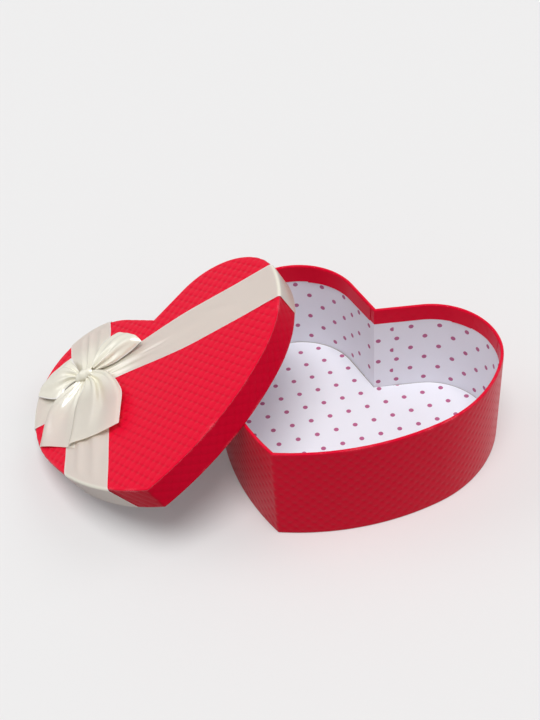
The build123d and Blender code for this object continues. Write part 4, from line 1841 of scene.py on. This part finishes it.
def bow_strip(name, cage, pleats, depths, length, stations, light_and_layer_ends):
    """A strip of the bow through its cage. Pleats: how many and where; depths: one for each row.

    The last argument sets the ribbon attribute at the strip's start and end: gathering and painted cream
    light."""
    piece, share, along = new_ribbon(name, BOW_LANES, stations)
    across = (share + 1) / 2
    places = through_cage(cage, across, along)
    side = through_cage(cage, across + ACROSS_STEP, along)
    side -= through_cage(cage, across - ACROSS_STEP, along)
    ahead = through_cage(cage, across, along + ALONG_STEP)
    ahead -= through_cage(cage, across, along - ALONG_STEP)
    upright = np.cross(side, ahead)
    upright /= np.linalg.norm(upright, axis=1)[:, None]
    depth = curve_weights(len(depths), along) @ np.array(depths) * MM
    wave = np.sin(2 * math.pi * pleats[0] * across + pleats[1]) * flat_edges(share)
    places += upright * (depth * wave)[:, None] + np.array([KNOT.x, KNOT.y, LID_HEIGHT])
    move_points(piece, places)
    # How gathered each strip is, which also sets its painted cream light.
    store(piece, "layered_and_painted_light", light_and_layer_ends[0] + (light_and_layer_ends[1] - light_and_layer_ends[0]) * soft_step(along, 0.1, 0.7))
    finish_ribbon(piece, BOW_WIDTH, length, bow_satin, 1)
    return piece

# %% [markdown]
# ### The loops
#
# A loop leaves the knot, turns at its far end and comes back underneath. In its cage the upper
# rows go out and the lower ones return. Points are millimetres from the knot: to the right,
# towards the cleft and up from the lid. A loop could be a bent tube, but then it would not
# flatten towards its end as a ribbon does.

# %% Bow loops
RIGHT_LOOP = (
    ((8, 11, 8), (10, 8, 9.5), (12, 6, 9), (13, 5, 6.5)),
    ((12, 23, 9), (21, 14, 12.5), (27, 8, 11), (30, 4.5, 4.8)),
    ((19, 34, 10), (32, 20, 14), (39, 11.5, 12.5), (42.5, 6.2, 4.6)),
    ((29, 38, 11), (41, 24, 15), (50, 13, 14), (54.5, 9, 5.4)),
    ((41, 39, 11), (49.5, 26.5, 14), (59.5, 15, 14), (64.5, 11.5, 6.8)),
    ((44, 39, 8.5), (53, 31, 10.5), (64, 20, 11), (68.5, 12.5, 7)),
    ((36, 45, 5), (43, 35, 6), (52, 24, 6), (63, 11.5, 4.6)),
    ((24, 44, 3.5), (33, 33, 4), (41, 21.5, 4.5), (51, 10.8, 3.4)),
    ((14, 38, 3.5), (23, 28, 4), (30, 18, 4.5), (38.5, 9.2, 3.2)),
    ((9, 27, 4), (14, 20, 4.5), (20, 13, 4.6), (27, 6.5, 3.6)),
    ((5, 13, 5), (7, 11, 5), (9, 9, 5), (11, 7, 4.6)),
)
LEFT_LOOP = (
    ((-7, 12, 9), (-7, 8, 10), (-8, 5, 9.3), (-9, 3, 7.2)),
    ((-12, 23, 10), (-14, 15, 13.5), (-17.5, 8, 12), (-17, 3, 6.8)),
    ((-17, 33, 9.5), (-24, 23, 14.5), (-28.5, 8.5, 13), (-25, 0, 6.8)),
    ((-20, 40, 8), (-33, 26, 12), (-42, 12.5, 11), (-37, -7, 6)),
    ((-24, 44, 6), (-42, 34, 8), (-57, 22, 7.5), (-63, 12, 5)),
    ((-25, 44, 3), (-41, 36, 3.5), (-51, 22, 3.5), (-53, 6, 4)),
    ((-22, 36, 3), (-33, 31, 3.5), (-37, 18, 3.5), (-38, 2, 4)),
    ((-17, 26, 4), (-22, 22, 4), (-24, 14, 4), (-25, 5, 4.5)),
    ((-9, 14, 5), (-10, 11, 5), (-10, 8, 5), (-10, 5, 5)),
)
RIGHT_LOOP_CUT = 108 * MM
LEFT_LOOP_CUT = 95 * MM
LOOP_STATIONS = 90
right_pleats = (1.5, 1.6, 1.0, 0.5, 0.3, 0.1, 0.3, 0.5, 1.0, 1.6, 1.5)
left_pleats = (1.5, 1.6, 1.0, 0.5, 0.2, 0.5, 1.0, 1.6, 1.5)
right_loop = bow_strip(
    "satin_loop_right", RIGHT_LOOP, pleats=(3.5, 0.5), depths=right_pleats,
    length=RIGHT_LOOP_CUT, stations=LOOP_STATIONS, light_and_layer_ends=(1.0, 1.0))
left_loop = bow_strip(
    "satin_loop_left", LEFT_LOOP, pleats=(3.5, 2.4), depths=left_pleats,
    length=LEFT_LOOP_CUT, stations=LOOP_STATIONS, light_and_layer_ends=(1.0, 1.0))
loops = (
    (right_loop, RIGHT_LOOP_CUT, "bow_loop_right"),
    (left_loop, LEFT_LOOP_CUT, "bow_loop_left"),
)
for loop, length, node in loops:
    settle(loop, "lid", "satin_ribbon", node)

# %% [markdown]
# ### The tails
#
# The tails fall from the knot to their cut ends, the right one over the left. They are strips
# like the loops, but they only go out. The right one has more points across, because three folds
# fan out in it from the knot. Towards the ends the painted cream light fades and more light goes
# through the cloth, where nothing lies under it.

# %% Bow tails
LEFT_TAIL = (
    ((-11, 2, 6), (-9, 0, 7), (-5, -3, 7), (-1, -4, 6)),
    ((-23, 0, 5.0), (-19, -6, 8.5), (-13, -13, 6.5), (-5, -16, 4)),
    ((-32, -4, 4.0), (-28, -12, 9.4), (-20, -20, 5.4), (-6, -26, 3)),
    ((-42, -9, 2.5), (-36, -19, 9.8), (-26, -30, 4.2), (-8, -40, 1.8)),
    ((-48, -24, 1.8), (-42, -32, 9.0), (-29, -44, 2.9), (-9, -56, 1.4)),
    ((-53, -43, 1.6), (-47, -48, 5.8), (-31, -58, 2.4), (-10, -71, 1.3)),
    ((-55, -59, 1.5), (-48, -63, 3.0), (-32, -71, 2), (-10, -84, 1.2)),
)
RIGHT_TAIL = (
    ((2, -4, 8), (4, -4, 9), (6, -3, 9.5), (8, -1, 9.5), (10, 1, 10), (10, 5, 9)),
    ((0, -9, 6.5), (5, -12, 9.5), (13, -16, 11.5), (15, -10, 6), (25, -12, 11), (26, -5, 8.5)),
    ((-4, -14, 5.5), (3, -18, 9), (16, -27, 11.5), (19, -21, 5.5), (35, -28, 12), (37, -20, 8)),
    ((-9, -21, 4.8), (-1, -26, 8), (16, -37, 10.5), (22, -34, 5.5), (41, -42, 12), (45, -36, 8)),
    ((-12, -34, 4.2), (-5, -38, 7.4), (14, -49, 8.5), (25, -50, 5.5), (43, -56, 10.5), (49, -49, 8.5)),
    ((-14, -59, 3.6), (-8, -61, 6.2), (8, -66, 6), (22, -68, 5.2), (40, -72, 8.5), (48, -69, 8)),
    ((-17, -80, 3.2), (-11, -80, 5.4), (6, -82, 4.5), (21, -84, 5.2), (36, -86, 7), (46, -85, 6.5)),
)
LEFT_TAIL_CUT = 84 * MM
RIGHT_TAIL_CUT = 94 * MM
TAIL_STATIONS = 60
left_depths = (1.2, 1.3, 0.9, 0.5, 0.3, 0.15, 0.1)
right_depths = (1.2, 1.6, 1.1, 0.6, 0.3, 0.2, 0.1)
left_tail = bow_strip(
    "satin_tail_left", LEFT_TAIL, pleats=(3, 1.2), depths=left_depths,
    length=LEFT_TAIL_CUT, stations=TAIL_STATIONS, light_and_layer_ends=(1.0, 0.0))
right_tail = bow_strip(
    "satin_tail_right", RIGHT_TAIL, pleats=(4, 0.4), depths=right_depths,
    length=RIGHT_TAIL_CUT, stations=TAIL_STATIONS, light_and_layer_ends=(1.0, 0.1))
settle(left_tail, "lid", "satin_ribbon", "bow_tail_left")
settle(right_tail, "lid", "satin_ribbon", "bow_tail_right")

# %% [markdown]
# ### The knot
#
# The end of the ribbon is wound once round the waist of the bow. A bent cylinder would be as
# near, but its edges would not look like cloth. So it is a ribbon too: its length goes once
# round, and it swells to a little barrel, with grooves where its folds run round.

# %% Knot
KNOT_GRID = (32, 64)
KNOT_HALF_LENGTH = 11 * MM
KNOT_RADII = (5.4 * MM, 6.4 * MM)
KNOT_CENTRE = Vector((1, 4, 7.4)) * MM
KNOT_CUT = (23 * MM, 40 * MM)
KNOT_TAPER = 0.30
KNOT_LEAN = 0.1
GROOVE_DEPTH = 0.06
GROOVES = 2.2
knot, share, around = new_ribbon("satin_knot", *KNOT_GRID)
angle = around * 2 * math.pi - math.pi / 2
groove = GROOVE_DEPTH * np.cos(GROOVES * math.pi * share + 0.9 * np.sin(angle) + 0.5)
swell = 1 - KNOT_TAPER * share ** 2 + groove * (1 - share ** 4)
places = np.stack([
    KNOT.x + KNOT_CENTRE.x + KNOT_HALF_LENGTH * share * (1 - KNOT_LEAN * np.sin(angle)),
    KNOT.y + KNOT_CENTRE.y + KNOT_RADII[0] * swell * np.cos(angle),
    LID_HEIGHT + KNOT_CENTRE.z + KNOT_RADII[1] * swell * np.sin(angle),
], axis=1)
move_points(knot, places)
edit_all(knot)
bpy.ops.mesh.remove_doubles(threshold=1e-6)
bpy.ops.mesh.normals_make_consistent(inside=False)
bpy.ops.object.mode_set(mode="OBJECT")
store(knot, "layered_and_painted_light", np.ones(len(knot.data.vertices)))
finish_ribbon(knot, KNOT_CUT[0], KNOT_CUT[1], bow_satin, 1)
settle(knot, "lid", "satin_ribbon", "bow_knot")
